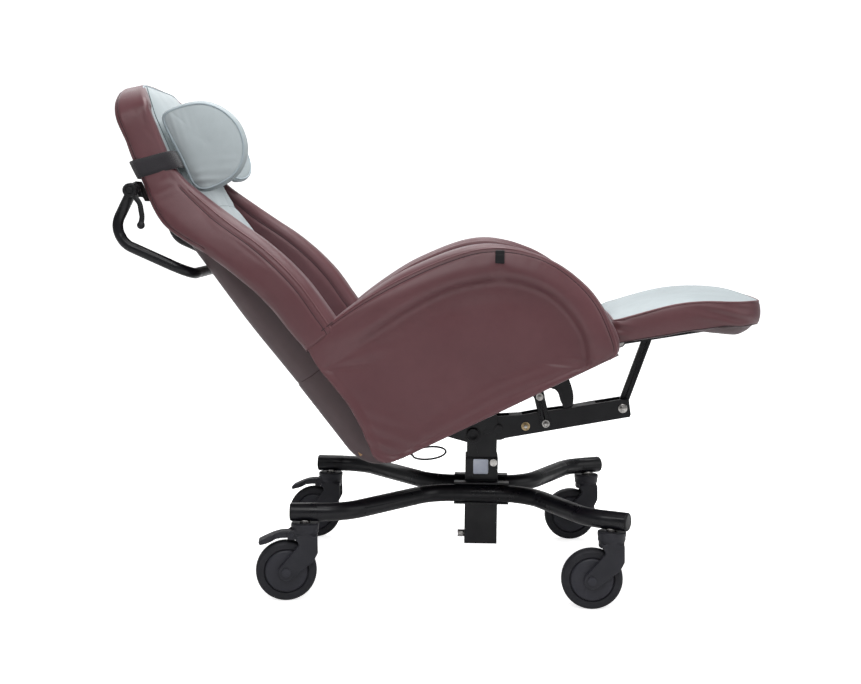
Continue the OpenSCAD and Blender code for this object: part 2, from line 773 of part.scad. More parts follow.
// side profile between +-half, trimmed to the plan
module legrest_slab(half, inset) {
  intersection() {
    slab(-half, half) children();
    translate([0, 0, 500]) linear_extrude(200) legrest_plan(inset);
  }
}
module legrest_board() {
  color([0.1, 0.09, 0.1]) world() legrest_slab(legrest_w / 2 - 8, 9) polygon([
    [291, 541.5], [350, 551], [388, 556.5], [470, 567], [552, 578],
    [552, 585], [470, 577.5], [388, 566], [350, 560], [291, 551]
  ]);
}
legrest_top = [
  [262, 553], [258, 572], [262, 596], [290, 611], [340, 622], [400, 632],
  [445, 636], [500, 633], [545, 625], [560, 616], [562, 600], [554, 587]
];
legrest_under = [[552, 585.5], [470, 578], [388, 566.5], [350, 560.5], [291, 551.5], [270, 548.6]];
module legrest_cushion() {
  color([0.6, 0.6, 0.62]) world() legrest_slab(legrest_w / 2, 0)
    polygon(concat(curve(legrest_top, 3), legrest_under));
}

// ------------------------------------------------------------ gas spring
spring_length = norm(spring_front - spring_rear);
spring_rod_r = 5;
spring_eye_r = 10;
spring_eye_half = 8.5;   // half width of the eyes

// spring frame: +x runs from the front eye towards the rear eye
module along_spring() {
  seat() translate([spring_front[0], 0, spring_front[1]])
    rotate([0, -heading(spring_front, spring_rear), 0]) children();
}
module gas_spring_body() {
  color(charcoal) along_spring() difference() {
    union() {
      xrod(13, 150);
      ypin([0, 0], spring_eye_r, -spring_eye_half, spring_eye_half);
    }
    ypin([0, 0], small_pin_r + clearance, -20, 20);
    // flats beside the eye, and the end in front of it
    for (y = [spring_eye_half, -spring_eye_half - 10]) translate([-12, y, -20]) cube([28, 10, 40]);
    translate([-20, -20, -20]) cube([12, 40, 40]);
    translate([20, 0, 0]) xrod(spring_rod_r + clearance, 140);
  }
}
module gas_spring_rod() {
  color([0.8, 0.8, 0.82]) along_spring() difference() {
    union() {
      translate([48, 0, 0]) xrod(spring_rod_r, spring_length - 54);
      ypin([spring_length, 0], spring_eye_r, -spring_eye_half, spring_eye_half);
    }
    // open pivot: eased hole around the column head pin
    ypin([spring_length, 0], 6, -20, 20);
  }
}
module tilt_cable() {
  cable_r = 2.2;
  loop_r = 30;
  color([0.04, 0.04, 0.04]) seat() {
    // release cable loop below the shell
    translate([-96, -150, 31]) rotate([26, 0, 30]) {
      rotate_extrude(angle = 250) translate([loop_r, 0]) circle(cable_r, $fn = 12);
      translate([loop_r, -26, 0]) rotate([-90, 0, 0]) cylinder(r = cable_r, h = 26.2, $fn = 12);
    }
    translate([-140, -150, 36]) cube([26, 14, 12]);
  }
}

// ------------------------------------------------------------ push bar
clamp_axis = [-389, 780];   // [x, z] in the seat frame
clamp_r = 7;
grip_y = 262;               // centre plane of each side arm
bar_r = 11;
// side view of the arm from the clamp: outward bow, then down to the cross grip
bow = [clamp_axis, [-453, 731], [-452, 690], [-386, 611]];

module push_bar() {
  along = (bow[3] - bow[2]) / norm(bow[3] - bow[2]);
  color(black) seat() difference() {
    union() {
      sides() {
        translate([0, grip_y, 0]) rotate([90, 0, 0])
          bent([bow[0], bow[1], bow[2], bow[3] + 2.6 * along], 42, bar_r);
        // boss on the clamp axis
        ypin(clamp_axis, 15, grip_y - bar_r - 0.4, grip_y + bar_r + 0.4);
      }
      // cross grip and its two turns
      translate([bow[3][0], 0, bow[3][1]]) rotate([0, atan2(-along[1], along[0]), 0])
        bent([[0, grip_y], [45, grip_y], [45, -grip_y], [0, -grip_y]], 43, bar_r, ends = false);
    }
    ypin(clamp_axis, clamp_r + clearance, -300, 300);
  }
}
module push_clamps() {
  color(soft_black) seat() sides() {
    // bracket on the rear of the back
    difference() {
      union() {
        slab(grip_y - 22, grip_y - bar_r - 1) {
          translate(clamp_axis) circle(15);
          polygon([[-375.8, 758], [-389, 765], [-389, 795], [-375.8, 795]]);
        }
        translate([-379, 200, 750]) cube([3.2, 50, 45]);
      }
      ypin(clamp_axis, clamp_r, grip_y - 30, grip_y - 5);
    }
    ypin(clamp_axis, clamp_r, grip_y - 22, grip_y + 29);
  }
}
handle_path = [[-388, 774], [-383, 748], [-391, 722], [-401, 708]];   // [x, z]
module clamp_lever() {
  inner = grip_y + bar_r + 1;
  middle = inner + 8;
  color([0.05, 0.05, 0.05]) difference() {
    union() {
      ypin(clamp_axis, 14, inner, inner + 16);
      // curved handle with a bulb end
      translate([0, middle, 0]) rotate([90, 0, 0]) bent(handle_path, 22, 5.5);
      translate([handle_path[3][0], middle, handle_path[3][1]]) sphere(8);
    }
    ypin(clamp_axis, clamp_r + clearance, inner - 5, inner + 17);
  }
}
module clamp_lever_left() { seat() clamp_lever(); }
module clamp_lever_right() { seat() mirror([0, 1, 0]) clamp_lever(); }

// ------------------------------------------------------------ headrest
ear_hinge = [-259, 201];   // left ear hinge, [x, y]
module headrest_pad() {
  // plan, left half from the middle of the front face, [x, y]
  edge = [[-244, 0], [-246, 120], [-250, 160], [-262, 176], [-284.5, 176]];
  right = [for (i = [1:4]) [edge[i][0], -edge[i][1]]];
  color(headrest_grey) seat() translate([0, 0, 752]) linear_extrude(136)
    polygon(concat([for (i = [4:-1:0]) edge[i]], right));
}
module headrest_strap() {
  half = back_half_w + 5;
  strap_t = 1.6;
  color(black) seat() translate([0, 0, 797]) linear_extrude(38) difference() {
    translate([-370, -half]) square([84.8, 2 * half]);
    translate([-370 + strap_t, -half + strap_t]) square([81.4, 2 * (half - strap_t)]);
  }
}
// ear outline, [forward of the hinge line, z]
ear_outline = curve([
  [-20, 800], [-20, 762], [-14, 740], [8, 722], [34, 716], [62, 719],
  [95, 737], [112, 758], [121, 785], [122, 812], [115, 842], [97, 866],
  [72, 883], [38, 893], [0, 893], [-16, 880], [-20, 850], [-20, 800]
], 3);
// drawn folded forward, thickness centred on the hinge
module ear() {
  difference() {
    slab(-ear_t / 2, ear_t / 2) polygon(ear_outline);
    // round the root so the ear can swing beside the pad
    difference() {
      translate([-30, -30, 700]) cube([30, 60, 210]);
      translate([0, 0, 699]) cylinder(r = ear_t / 2, h = 212);
    }
  }
}
module headrest_ear_right() {
  color(headrest_grey) seat() at([ear_hinge[0], -ear_hinge[1]])
    rotate([0, 0, ear_right_fold - 90]) ear();
}
module headrest_ear_left() {
  color(headrest_grey) seat() at(ear_hinge) rotate([0, 0, 90 - ear_left_fold]) ear();
}

base_tube_right();
base_tube_left();
tube_caps();
column_sleeve();
sleeve_collar();
column_bolts();
blank_plate();
castor_stems();
castor_fork_rr();
castor_axle_rr();
wheel_hub_rr();
wheel_tyre_rr();
brake_pedal_rr();
castor_fork_rl();
castor_axle_rl();
wheel_hub_rl();
wheel_tyre_rl();
brake_pedal_rl();
castor_fork_fr();
castor_axle_fr();
wheel_hub_fr();
wheel_tyre_fr();
castor_fork_fl();
castor_axle_fl();
wheel_hub_fl();
wheel_tyre_fl();
column_inner();
head_pins();
seat_frame();
frame_bolts();
seat_board();
back_shell();
armrest_right();
armrest_left();
wing_right();
wing_left();
back_band();
back_cushion();
seat_cushion();
arm_tabs();
push_clamps();
tilt_cable();
lever_arm();
lever_bolts();
short_links();
legrest_frame();
legrest_board();
legrest_cushion();
leg_strut();
gas_spring_body();
gas_spring_rod();
push_bar();
clamp_lever_right();
clamp_lever_left();
headrest_pad();
headrest_strap();
headrest_ear_right();
headrest_ear_left();
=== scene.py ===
import json
import math

import bmesh
import bpy
import numpy as np
from mathutils import Matrix, Vector, noise
from mathutils.bvhtree import BVHTree

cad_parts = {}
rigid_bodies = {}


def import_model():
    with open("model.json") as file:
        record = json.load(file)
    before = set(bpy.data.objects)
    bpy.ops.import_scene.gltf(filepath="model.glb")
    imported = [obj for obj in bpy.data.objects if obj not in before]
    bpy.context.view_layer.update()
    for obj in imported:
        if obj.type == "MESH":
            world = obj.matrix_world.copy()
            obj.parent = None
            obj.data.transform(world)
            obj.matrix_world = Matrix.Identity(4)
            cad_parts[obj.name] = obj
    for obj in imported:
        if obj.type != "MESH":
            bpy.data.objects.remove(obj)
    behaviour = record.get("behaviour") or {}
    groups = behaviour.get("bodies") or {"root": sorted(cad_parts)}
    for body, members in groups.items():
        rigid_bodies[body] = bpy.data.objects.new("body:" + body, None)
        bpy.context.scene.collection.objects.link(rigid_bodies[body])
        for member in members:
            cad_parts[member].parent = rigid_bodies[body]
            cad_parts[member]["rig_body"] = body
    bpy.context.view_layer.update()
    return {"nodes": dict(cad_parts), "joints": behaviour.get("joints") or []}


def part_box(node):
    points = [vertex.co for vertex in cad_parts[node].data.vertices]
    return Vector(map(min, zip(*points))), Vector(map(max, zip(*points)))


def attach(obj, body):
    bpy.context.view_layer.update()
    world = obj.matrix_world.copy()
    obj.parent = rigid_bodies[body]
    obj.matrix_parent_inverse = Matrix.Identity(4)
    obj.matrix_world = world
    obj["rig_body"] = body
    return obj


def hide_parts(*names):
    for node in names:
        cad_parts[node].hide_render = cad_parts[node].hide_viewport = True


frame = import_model()
nodes = frame["nodes"]
J = {j["name"]: j for j in frame["joints"]}
scene = bpy.context.scene

# ---------------------------------------------------------------- frames
PX, _, PZ = J["seat_tilt"]["pos_m"]
SA, CA = -J["headrest_slide"]["axis"][0], J["headrest_slide"]["axis"][2]
CX = PX + 0.020


def seat(p):
    """seat frame (u forward, y, w up the back), mm -> row frame, m"""
    p = np.asarray(p, float)
    out = np.empty_like(p)
    out[..., 0] = PX + (p[..., 0] * CA - p[..., 2] * SA) / 1000
    out[..., 1] = p[..., 1] / 1000
    out[..., 2] = PZ + (p[..., 0] * SA + p[..., 2] * CA) / 1000
    return out


def world(p):
    """column frame, mm -> row frame, m"""
    p = np.asarray(p, float)
    return p / 1000 + np.array([CX, 0, 0])


# ---------------------------------------------------------------- materials
def srgb(r, g, b):
    f = lambda c: c / 12.92 if c <= 0.04045 else ((c + 0.055) / 1.055) ** 2.4
    return (f(r / 255), f(g / 255), f(b / 255), 1.0)


def tone(c, k):
    return (min(1, c[0] * k), min(1, c[1] * k), min(1, c[2] * k), 1.0)


class Mat:
    """A small node-tree builder."""

    def __init__(self, name):
        self.m = bpy.data.materials.new(name)
        self.m.use_nodes = True
        self.t = self.m.node_tree
        self.t.nodes.clear()
        self.out = self.n("ShaderNodeOutputMaterial")
        self.b = self.n("ShaderNodeBsdfPrincipled")
        self.link(self.b.outputs[0], self.out.inputs[0])
        self.co = self.n("ShaderNodeTexCoord").outputs["Object"]

    def n(self, kind, **k):
        node = self.t.nodes.new(kind)
        for a, v in k.items():
            setattr(node, a, v)
        return node

    def link(self, a, b):
        self.t.links.new(a, b)

    def noise(self, scale, detail=3, rough=0.5, distortion=0.0, co=None):
        x = self.n("ShaderNodeTexNoise")
        self.link(co or self.co, x.inputs["Vector"])
        x.inputs["Scale"].default_value = scale
        x.inputs["Detail"].default_value = detail
        x.inputs["Roughness"].default_value = rough
        x.inputs["Distortion"].default_value = distortion
        return x.outputs["Fac"]

    def voronoi(self, scale, feature="F1"):
        x = self.n("ShaderNodeTexVoronoi", feature=feature)
        self.link(self.co, x.inputs["Vector"])
        x.inputs["Scale"].default_value = scale
        return x.outputs["Distance"]

    def wave(self, scale, axis="X", co=None, distortion=0.0):
        x = self.n("ShaderNodeTexWave", bands_direction=axis)
        self.link(co or self.co, x.inputs["Vector"])
        x.inputs["Scale"].default_value = scale
        x.inputs["Distortion"].default_value = distortion
        return x.outputs["Fac"]

    def span(self, fac, lo, hi, f0=0.0, f1=1.0):
        x = self.n("ShaderNodeMapRange")
        self.link(fac, x.inputs["Value"])
        x.inputs["From Min"].default_value = f0
        x.inputs["From Max"].default_value = f1
        x.inputs["To Min"].default_value = lo
        x.inputs["To Max"].default_value = hi
        return x.outputs[0]

    def math(self, op, a, b):
        x = self.n("ShaderNodeMath", operation=op)
        for i, v in enumerate((a, b)):
            if isinstance(v, (int, float)):
                x.inputs[i].default_value = v
            else:
                self.link(v, x.inputs[i])
        return x.outputs[0]

    def mix(self, fac, a, b):
        x = self.n("ShaderNodeMix", data_type="RGBA")
        if isinstance(fac, (int, float)):
            x.inputs[0].default_value = fac
        else:
            self.link(fac, x.inputs[0])
        for i, v in ((6, a), (7, b)):
            if isinstance(v, tuple):
                x.inputs[i].default_value = v
            else:
                self.link(v, x.inputs[i])
        return x.outputs[2]

    def bump(self, height, strength, distance, normal=None):
        x = self.n("ShaderNodeBump")
        x.inputs["Strength"].default_value = strength
        x.inputs["Distance"].default_value = distance
        self.link(height, x.inputs["Height"])
        if normal is not None:
            self.link(normal, x.inputs["Normal"])
        return x.outputs[0]

    def set(self, **k):
        for a, v in k.items():
            i = self.b.inputs[a.replace("_", " ")]
            if isinstance(v, (int, float, tuple)):
                i.default_value = v
            else:
                self.link(v, i)
        return self.m

    def edge(self, radius, lo=0.02, hi=0.35):
        """1 on worn edges, 0 elsewhere"""
        bev = self.n("ShaderNodeBevel", samples=4)
        bev.inputs["Radius"].default_value = radius
        geo = self.n("ShaderNodeNewGeometry")
        d = self.n("ShaderNodeVectorMath", operation="DOT_PRODUCT")
        self.link(bev.outputs[0], d.inputs[0])
        self.link(geo.outputs["Normal"], d.inputs[1])
        inv = self.math("SUBTRACT", 1.0, d.outputs["Value"])
        return self.span(inv, 0.0, 1.0, lo, hi)


def vinyl(name, base, rough=0.42, grain=0.22, folds=0.25, sheen=0.12, haze=(0.8, 0.75, 0.78, 1)):
    """coated fabric: fine leather grain, faint scuffs, soft cloudy colour"""
    m = Mat(name)
    cloud = m.noise(7, 4)
    fine = m.noise(60, 4)
    c = m.mix(m.span(cloud, 0, 1, 0.3, 0.7), tone(base, 0.92), tone(base, 1.07))
    c = m.mix(m.span(fine, 0.0, 0.35, 0.45, 0.75), c, tone(base, 0.86))
    cell = m.voronoi(760)
    pore = m.noise(1500, 2)
    height = m.math("ADD", m.math("MULTIPLY", cell, 0.8), m.math("MULTIPLY", pore, 0.35))
    n1 = m.bump(m.noise(26, 3, 0.45), folds * 0.35, 0.004)
    n2 = m.bump(height, grain, 0.0006, n1)
    r = m.math("ADD", m.span(m.noise(18, 3), rough - 0.05, rough + 0.07, 0.3, 0.7), m.span(cell, 0.0, 0.05))
    m.set(Base_Color=c, Roughness=r, Normal=n2, Sheen_Weight=sheen, Sheen_Roughness=0.35, Sheen_Tint=haze)
    m.b.inputs["Specular IOR Level"].default_value = 0.38
    return m.m


def paint(name, base, rough=0.34, peel=0.18, wear=0.35):
    """powder coat: orange-peel bump, slightly paler rubbed edges"""
    m = Mat(name)
    e = m.edge(0.0016)
    scuff = m.math("MULTIPLY", e, m.span(m.noise(90, 4), 0.2, 1.0, 0.35, 0.65))
    c = m.mix(m.span(m.noise(12, 3), 0, 1, 0.35, 0.65), tone(base, 0.85), tone(base, 1.2))
    c = m.mix(m.math("MULTIPLY", scuff, wear), c, (0.11, 0.11, 0.12, 1))
    peelh = m.noise(480, 2, 0.4)
    bev = m.n("ShaderNodeBevel", samples=4)
    bev.inputs["Radius"].default_value = 0.0011
    n = m.bump(peelh, peel, 0.0004, bev.outputs[0])
    r = m.span(m.noise(35, 4), rough - 0.06, rough + 0.12, 0.3, 0.7)
    m.set(Base_Color=c, Roughness=r, Normal=n)
    m.b.inputs["Specular IOR Level"].default_value = 0.26
    m.b.inputs["Coat Weight"].default_value = 0.10
    m.b.inputs["Coat Roughness"].default_value = 0.25
    return m.m


def plastic(name, base, rough=0.5, texture=0.3, scale=900, wear=0.25):
    """moulded plastic with a spark-eroded texture"""
    m = Mat(name)
    e = m.edge(0.0012)
    c = m.mix(m.span(m.noise(20, 3), 0, 1, 0.35, 0.65), tone(base, 0.88), tone(base, 1.14))
    c = m.mix(m.math("MULTIPLY", e, wear), c, tone(base, 2.4))
    bev = m.n("ShaderNodeBevel", samples=4)
    bev.inputs["Radius"].default_value = 0.0009
    n = m.bump(m.math("ADD", m.noise(scale, 3, 0.6), m.math("MULTIPLY", m.voronoi(scale * 0.6), 0.5)), texture, 0.0004, bev.outputs[0])
    r = m.span(m.noise(50, 3), rough - 0.07, rough + 0.09, 0.3, 0.7)
    m.set(Base_Color=c, Roughness=r, Normal=n)
    m.b.inputs["Specular IOR Level"].default_value = 0.30
    return m.m


def steel(name, base, rough=0.26, metal=1.0):
    """plated steel, lightly brushed and tarnished"""
    m = Mat(name)
    c = m.mix(m.span(m.noise(140, 4), 0, 1, 0.35, 0.7), base, tone(base, 0.6))
    n = m.bump(m.noise(700, 3), 0.15, 0.0003)
    r = m.span(m.noise(160, 3), rough - 0.07, rough + 0.14, 0.3, 0.7)
    m.set(Base_Color=c, Roughness=r, Normal=n, Metallic=metal)
    return m.m


def webbing(name, base):
    m = Mat(name)
    mp = m.n("ShaderNodeMapping")
    m.link(m.co, mp.inputs["Vector"])
    mp.inputs["Rotation"].default_value = (0, math.atan2(SA, CA), 0)
    w1 = m.wave(330, "Z", mp.outputs[0])
    w2 = m.wave(330, "X", mp.outputs[0])
    w3 = m.wave(330, "Y", mp.outputs[0])
    h = m.math("ADD", m.math("MULTIPLY", w1, 0.6), m.math("MAXIMUM", w2, w3))
    c = m.mix(m.span(h, 0, 1, 0.2, 1.5), tone(base, 0.6), tone(base, 1.7))
    m.set(Base_Color=c, Roughness=0.85, Normal=m.bump(h, 0.6, 0.0006), Sheen_Weight=0.25)
    return m.m


BURG = srgb(90, 56, 60)
BURG_D = srgb(52, 30, 34)
GREY = srgb(166, 175, 178)
M = {
    "burgundy": vinyl("burgundy_vinyl", BURG, rough=0.36, sheen=0.10, haze=(0.85, 0.78, 0.85, 1)),
    "shell": vinyl("shell_vinyl", srgb(80, 66, 68), rough=0.50, sheen=0.10),
    "grey": vinyl("grey_vinyl", GREY, rough=0.46, grain=0.16, sheen=0.05, haze=(1, 1, 1, 1)),
    "grey_piping": vinyl("grey_piping", srgb(158, 170, 176), rough=0.46, grain=0.1),
    # the burgundy piping is a paler copy of the burgundy vinyl: its paler tone is painted highlight along the welts
    "burg_piping_lit": vinyl("burgundy_piping_painted_highlight", srgb(104, 68, 72), rough=0.38, grain=0.1),
    "seam": vinyl("seam_shadow", BURG_D, rough=0.6, grain=0.1),
    "grey_seam": vinyl("grey_seam_shadow", srgb(86, 98, 102), rough=0.6, grain=0.1),
    "under": vinyl("leg_underside", srgb(78, 62, 64), rough=0.55, grain=0.3, folds=0.5),
    "paint": paint("black_paint", srgb(13, 13, 18)),
    "tube": paint("black_tube_paint", srgb(10, 10, 15), rough=0.30, peel=0.12, wear=0.2),
    "castor": plastic("castor_plastic", srgb(34, 34, 40), rough=0.46),
    "hub": plastic("hub_plastic", srgb(40, 40, 47), rough=0.42),
    "tyre": plastic("tyre_rubber", srgb(30, 30, 35), rough=0.62, texture=0.45, scale=500),
    "black": plastic("black_plastic", srgb(16, 16, 19), rough=0.48),
    "steel": steel("zinc_steel", (0.60, 0.58, 0.56, 1)),
    "gold": steel("yellow_zinc", (0.62, 0.47, 0.27, 1), 0.3),
    "rod": steel("polished_rod", (0.78, 0.78, 0.8, 1), 0.14),
    "web": webbing("strap_web", srgb(24, 21, 26)),
    "cable": plastic("cable_rubber", srgb(22, 22, 22), rough=0.4),
}


def plate_mat():
    m = Mat("label_plate")
    c = m.mix(m.span(m.noise(40, 3), 0, 1, 0.3, 0.7), srgb(196, 204, 224), srgb(214, 220, 234))
    m.set(Base_Color=c, Roughness=m.span(m.noise(90, 3), 0.3, 0.45), Normal=m.bump(m.noise(600, 2), 0.08, 0.0002))
    return m.m


def wood_mat():
    m = Mat("plywood")
    mp = m.n("ShaderNodeMapping")
    m.link(m.co, mp.inputs["Vector"])
    mp.inputs["Scale"].default_value = (0.15, 1, 1)
    g = m.noise(60, 6, 0.6, 1.2, co=mp.outputs[0])
    c = m.mix(m.span(g, 0, 1, 0.3, 0.7), srgb(150, 112, 74), srgb(196, 160, 118))
    m.set(Base_Color=c, Roughness=0.65, Normal=m.bump(g, 0.25, 0.0005))
    return m.m


M["plate"] = plate_mat()
M["wood"] = wood_mat()


# ---------------------------------------------------------------- mesh helpers
def mesh_obj(name, verts, faces, mats, body, midx=None, smooth=True):
    me = bpy.data.meshes.new(name)
    me.from_pydata([tuple(map(float, v)) for v in verts], [], [tuple(int(i) for i in f) for f in faces])
    me.validate()
    if not isinstance(mats, (list, tuple)):
        mats = [mats]
    for m in mats:
        me.materials.append(m)
    if midx is not None:
        me.polygons.foreach_set("material_index", np.asarray(midx, np.int32))
    me.polygons.foreach_set("use_smooth", [smooth] * len(me.polygons))
    o = bpy.data.objects.new(name, me)
    scene.collection.objects.link(o)
    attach(o, body)
    return o


def loft(rings, cap0="fan", cap1="fan", closed=True):
    """rings of equal length -> (verts, faces, ring index of each face)"""
    n = len(rings[0])
    verts = np.concatenate([np.asarray(r, float) for r in rings])
    faces, ids = [], []
    last = n if closed else n - 1
    for k in range(len(rings) - 1):
        a, b = k * n, (k + 1) * n
        for i in range(last):
            j = (i + 1) % n
            faces.append((a + i, a + j, b + j, b + i))
            ids.append(k)
    # the end rings are closed with a ladder of quads, not with one many-sided point
    for cap, base, k, turn in ((cap0, 0, 0, True), (cap1, (len(rings) - 1) * n, len(rings) - 2, False)):
        if cap != "fan":
            continue
        h = n // 2
        rows = [(0, 1, n - 1)] + [(i, i + 1, n - i - 1, n - i) for i in range(1, h - 1)]
        rows += [(h - 1, h, h + 1)] if n % 2 == 0 else [(h - 1, h, h + 1, h + 2)]
        for q in rows:
            q = tuple(base + i for i in q)
            faces.append(tuple(reversed(q)) if turn else q)
            ids.append(k)
    return verts, faces, ids


def outward(o):
    bm = bmesh.new()
    bm.from_mesh(o.data)
    bmesh.ops.recalc_face_normals(bm, faces=bm.faces)
    bm.to_mesh(o.data)
    bm.free()
    o.data.update()


def resample(p, n, closed=False):
    p = np.asarray(p, float)
    if closed:
        p = np.vstack([p, p[:1]])
    d = np.r_[0, np.cumsum(np.linalg.norm(np.diff(p, axis=0), axis=1))]
    t = np.linspace(0, d[-1], n, endpoint=not closed)
    return np.column_stack([np.interp(t, d, p[:, i]) for i in range(p.shape[1])])


def smooth_poly(p, it=2, closed=False):
    """corner cutting, then back to the same kind of polyline"""
    p = np.asarray(p, float)
    for _ in range(it):
        q = []
        m = len(p)
        for i in range(m if closed else m - 1):
            a, b = p[i], p[(i + 1) % m]
            q += [0.75 * a + 0.25 * b, 0.25 * a + 0.75 * b]
        if not closed:
            q = [p[0]] + q + [p[-1]]
        p = np.array(q)
    return p


def tube(name, pts, r, mat, body, closed=False, seg=8, normals=None, flat=1.0):
    """round or slightly flattened piping along a 3-D polyline, metres"""
    pts = np.asarray(pts, float)
    n = len(pts)
    rings = []
    prev = None
    for i in range(n):
        if closed:
            t = pts[(i + 1) % n] - pts[i - 1]
        else:
            t = pts[min(n - 1, i + 1)] - pts[max(0, i - 1)]
        t = t / (np.linalg.norm(t) + 1e-12)
        if normals is not None:
            a = np.array(normals[i], float)
        elif prev is None:
            a = np.array([0, 0, 1.0]) if abs(t[2]) < 0.9 else np.array([1.0, 0, 0])
        else:
            a = prev
        a = a - t * (a @ t)
        a = a / (np.linalg.norm(a) + 1e-12)
        prev = a
        b = np.cross(t, a)
        rr = r * (1 if closed or 0 < i < n - 1 else 0.6)
        rings.append([pts[i] + rr * (flat * math.sin(2 * math.pi * k / seg) * a + math.cos(2 * math.pi * k / seg) * b) for k in range(seg)])
    if closed:
        v, f, _ = loft(rings + [rings[0]], None, None)
        v = v[: n * seg]
        f = [tuple(i % (n * seg) for i in q) for q in f]
    else:
        v, f, _ = loft(rings)
    o = mesh_obj(name, v, f, mat, body)
    outward(o)
    return o


def snapped(o, pts, lift):
    """points moved to the nearest place on o's surface, lift metres out; also the normals there"""
    bm = bmesh.new()
    bm.from_mesh(o.data)
    tree = BVHTree.FromBMesh(bm)
    out, nor = [], []
    for p in pts:
        loc, n, _, _ = tree.find_nearest(Vector(p))
        out.append(np.array(loc + n * lift))
        nor.append(np.array(n))
    bm.free()
    out, nor = np.array(out), np.array(nor)
    k = np.array([0.25, 0.5, 0.25])
    for _ in range(3):  # iron out the steps of the surface
        out[1:-1] = k[0] * out[:-2] + k[1] * out[1:-1] + k[2] * out[2:]
        nor[1:-1] = k[0] * nor[:-2] + k[1] * nor[1:-1] + k[2] * nor[2:]
    return out, nor


def seam(name, o, pts, body, mat, r=0.0011, lift=0.0, closed=False, n=160, width=0.006, depth=0.0016):
    """a sewn seam: the cover dips along the line and a thin cord of shadow or piping lies in it"""
    pts = resample(pts, n, closed)
    if depth:
        dent(o, pts, width, depth)
    p, nor = snapped(o, pts, lift)
    return tube(name, p, r, mat, body, closed, 6, nor)


def dent(o, pts, width, depth):
    me = o.data
    co = np.empty(len(me.vertices) * 3)
    me.vertices.foreach_get("co", co)
    co = co.reshape(-1, 3)
    no = np.empty(len(me.vertices) * 3)
    me.vertex_normals.foreach_get("vector", no)
    no = no.reshape(-1, 3)
    d = np.full(len(co), 1e9)
    pts = np.asarray(pts)
    for i in range(0, len(pts), 10):
        q = pts[i : i + 11]
        sel = np.nonzero(((co > q.min(0) - width) & (co < q.max(0) + width)).all(1))[0]
        if len(sel):
            dd = np.sqrt(((co[sel][:, None] - q[None]) ** 2).sum(2)).min(1)
            d[sel] = np.minimum(d[sel], dd)
    k = np.clip(1 - d / width, 0, 1)
    co -= no * (depth * k * k * (3 - 2 * k))[:, None]
    me.vertices.foreach_set("co", co.ravel())
    me.update()


def coords(o):
    co = np.empty(len(o.data.vertices) * 3)
    o.data.vertices.foreach_get("co", co)
    return co.reshape(-1, 3)


def set_coords(o, co):
    o.data.vertices.foreach_set("co", np.asarray(co, float).ravel())
    o.data.update()


def puff(o, pressure=4.0, cap=0.006, pins=None, stiff=15, smooth=0):
    bpy.context.view_layer.update()
    before = coords(o)
    if pins is not None:
        g = o.vertex_groups.new(name="pins")
        g.add([int(i) for i in np.nonzero(pins)[0]], 1.0, "REPLACE")
    c = o.modifiers.new("cloth", "CLOTH")
    s = c.settings
    s.quality = 5
    s.mass = 0.3
    s.tension_stiffness = s.compression_stiffness = stiff
    s.shear_stiffness = stiff * 0.5
    s.bending_stiffness = 1.0
    s.use_pressure = True
    s.uniform_pressure_force = pressure
    s.effector_weights.gravity = 0
    if pins is not None:
        s.vertex_group_mass = "pins"
        s.pin_stiffness = 4
    c.collision_settings.use_collision = False
    c.collision_settings.use_self_collision = False
    scene.frame_start, scene.frame_end = 1, 20
    for f in range(1, 21):
        scene.frame_set(f)
    dg = bpy.context.evaluated_depsgraph_get()
    ev = o.evaluated_get(dg)
    after = np.empty(len(before) * 3)
    ev.data.vertices.foreach_get("co", after)
    after = after.reshape(-1, 3)
    o.modifiers.clear()
    o.vertex_groups.clear()
    scene.frame_set(1)
    d = after - before
    d = np.nan_to_num(d)
    l = np.linalg.norm(d, axis=1)
    k = np.tanh(l / cap) * cap / np.maximum(l, 1e-9)  # soft cap on how far a point may move
    set_coords(o, before + d * k[:, None])
    finish_soft(o, smooth)


def finish_soft(o, smooth=0):
    if smooth:
        m = o.modifiers.new("sm", "SMOOTH")
        m.factor, m.iterations = 0.5, smooth
    m = o.modifiers.new("sub", "SUBSURF")
    m.levels = m.render_levels = 1
    m.uv_smooth = "NONE"
    dg = bpy.context.evaluated_depsgraph_get()
    me = bpy.data.meshes.new_from_object(o.evaluated_get(dg))
    o.modifiers.clear()
    old = o.data
    o.data = me
    bpy.data.meshes.remove(old)
    me.name = o.name
    me.polygons.foreach_set("use_smooth", [True] * len(me.polygons))


def remesh(o, size, smooth=4):
    """even quads all over, as one closed skin"""
    m = o.modifiers.new("rm", "REMESH")
    m.mode, m.voxel_size = "VOXEL", size
    m.use_smooth_shade = True
    s = o.modifiers.new("sm", "SMOOTH")
    s.factor, s.iterations = 0.5, smooth
    dg = bpy.context.evaluated_depsgraph_get()
    me = bpy.data.meshes.new_from_object(o.evaluated_get(dg))
    o.modifiers.clear()
    mats = list(o.data.materials)
    old = o.data
    o.data = me
    bpy.data.meshes.remove(old)
    me.name = o.name
    me.materials.clear()
    for x in mats:
        me.materials.append(x)
    me.polygons.foreach_set("use_smooth", [True] * len(me.polygons))


def mirrored(o, name, body):
    """the same piece on the other side"""
    me = o.data.copy()
    me.name = name
    q = bpy.data.objects.new(name, me)
    scene.collection.objects.link(q)
    co = coords(q)
    co[:, 1] *= -1
    set_coords(q, co)
    me.flip_normals()
    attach(q, body)
    return q


def ripple(o, fn):
    """moves points along their normals by fn(points) metres"""
    me = o.data
    co = coords(o)
    no = np.empty(len(co) * 3)
    me.vertex_normals.foreach_get("vector", no)
    co = co + no.reshape(-1, 3) * fn(co)[:, None]
    set_coords(o, co)


def fnoise(co, scale, seed=0.0):
    return np.array([noise.noise(Vector(p) * scale + Vector((seed, seed * 1.7, -seed))) for p in co])


def near(co, p, r):
    d = np.linalg.norm(co - np.asarray(p), axis=1) / r
    return np.exp(-d * d)


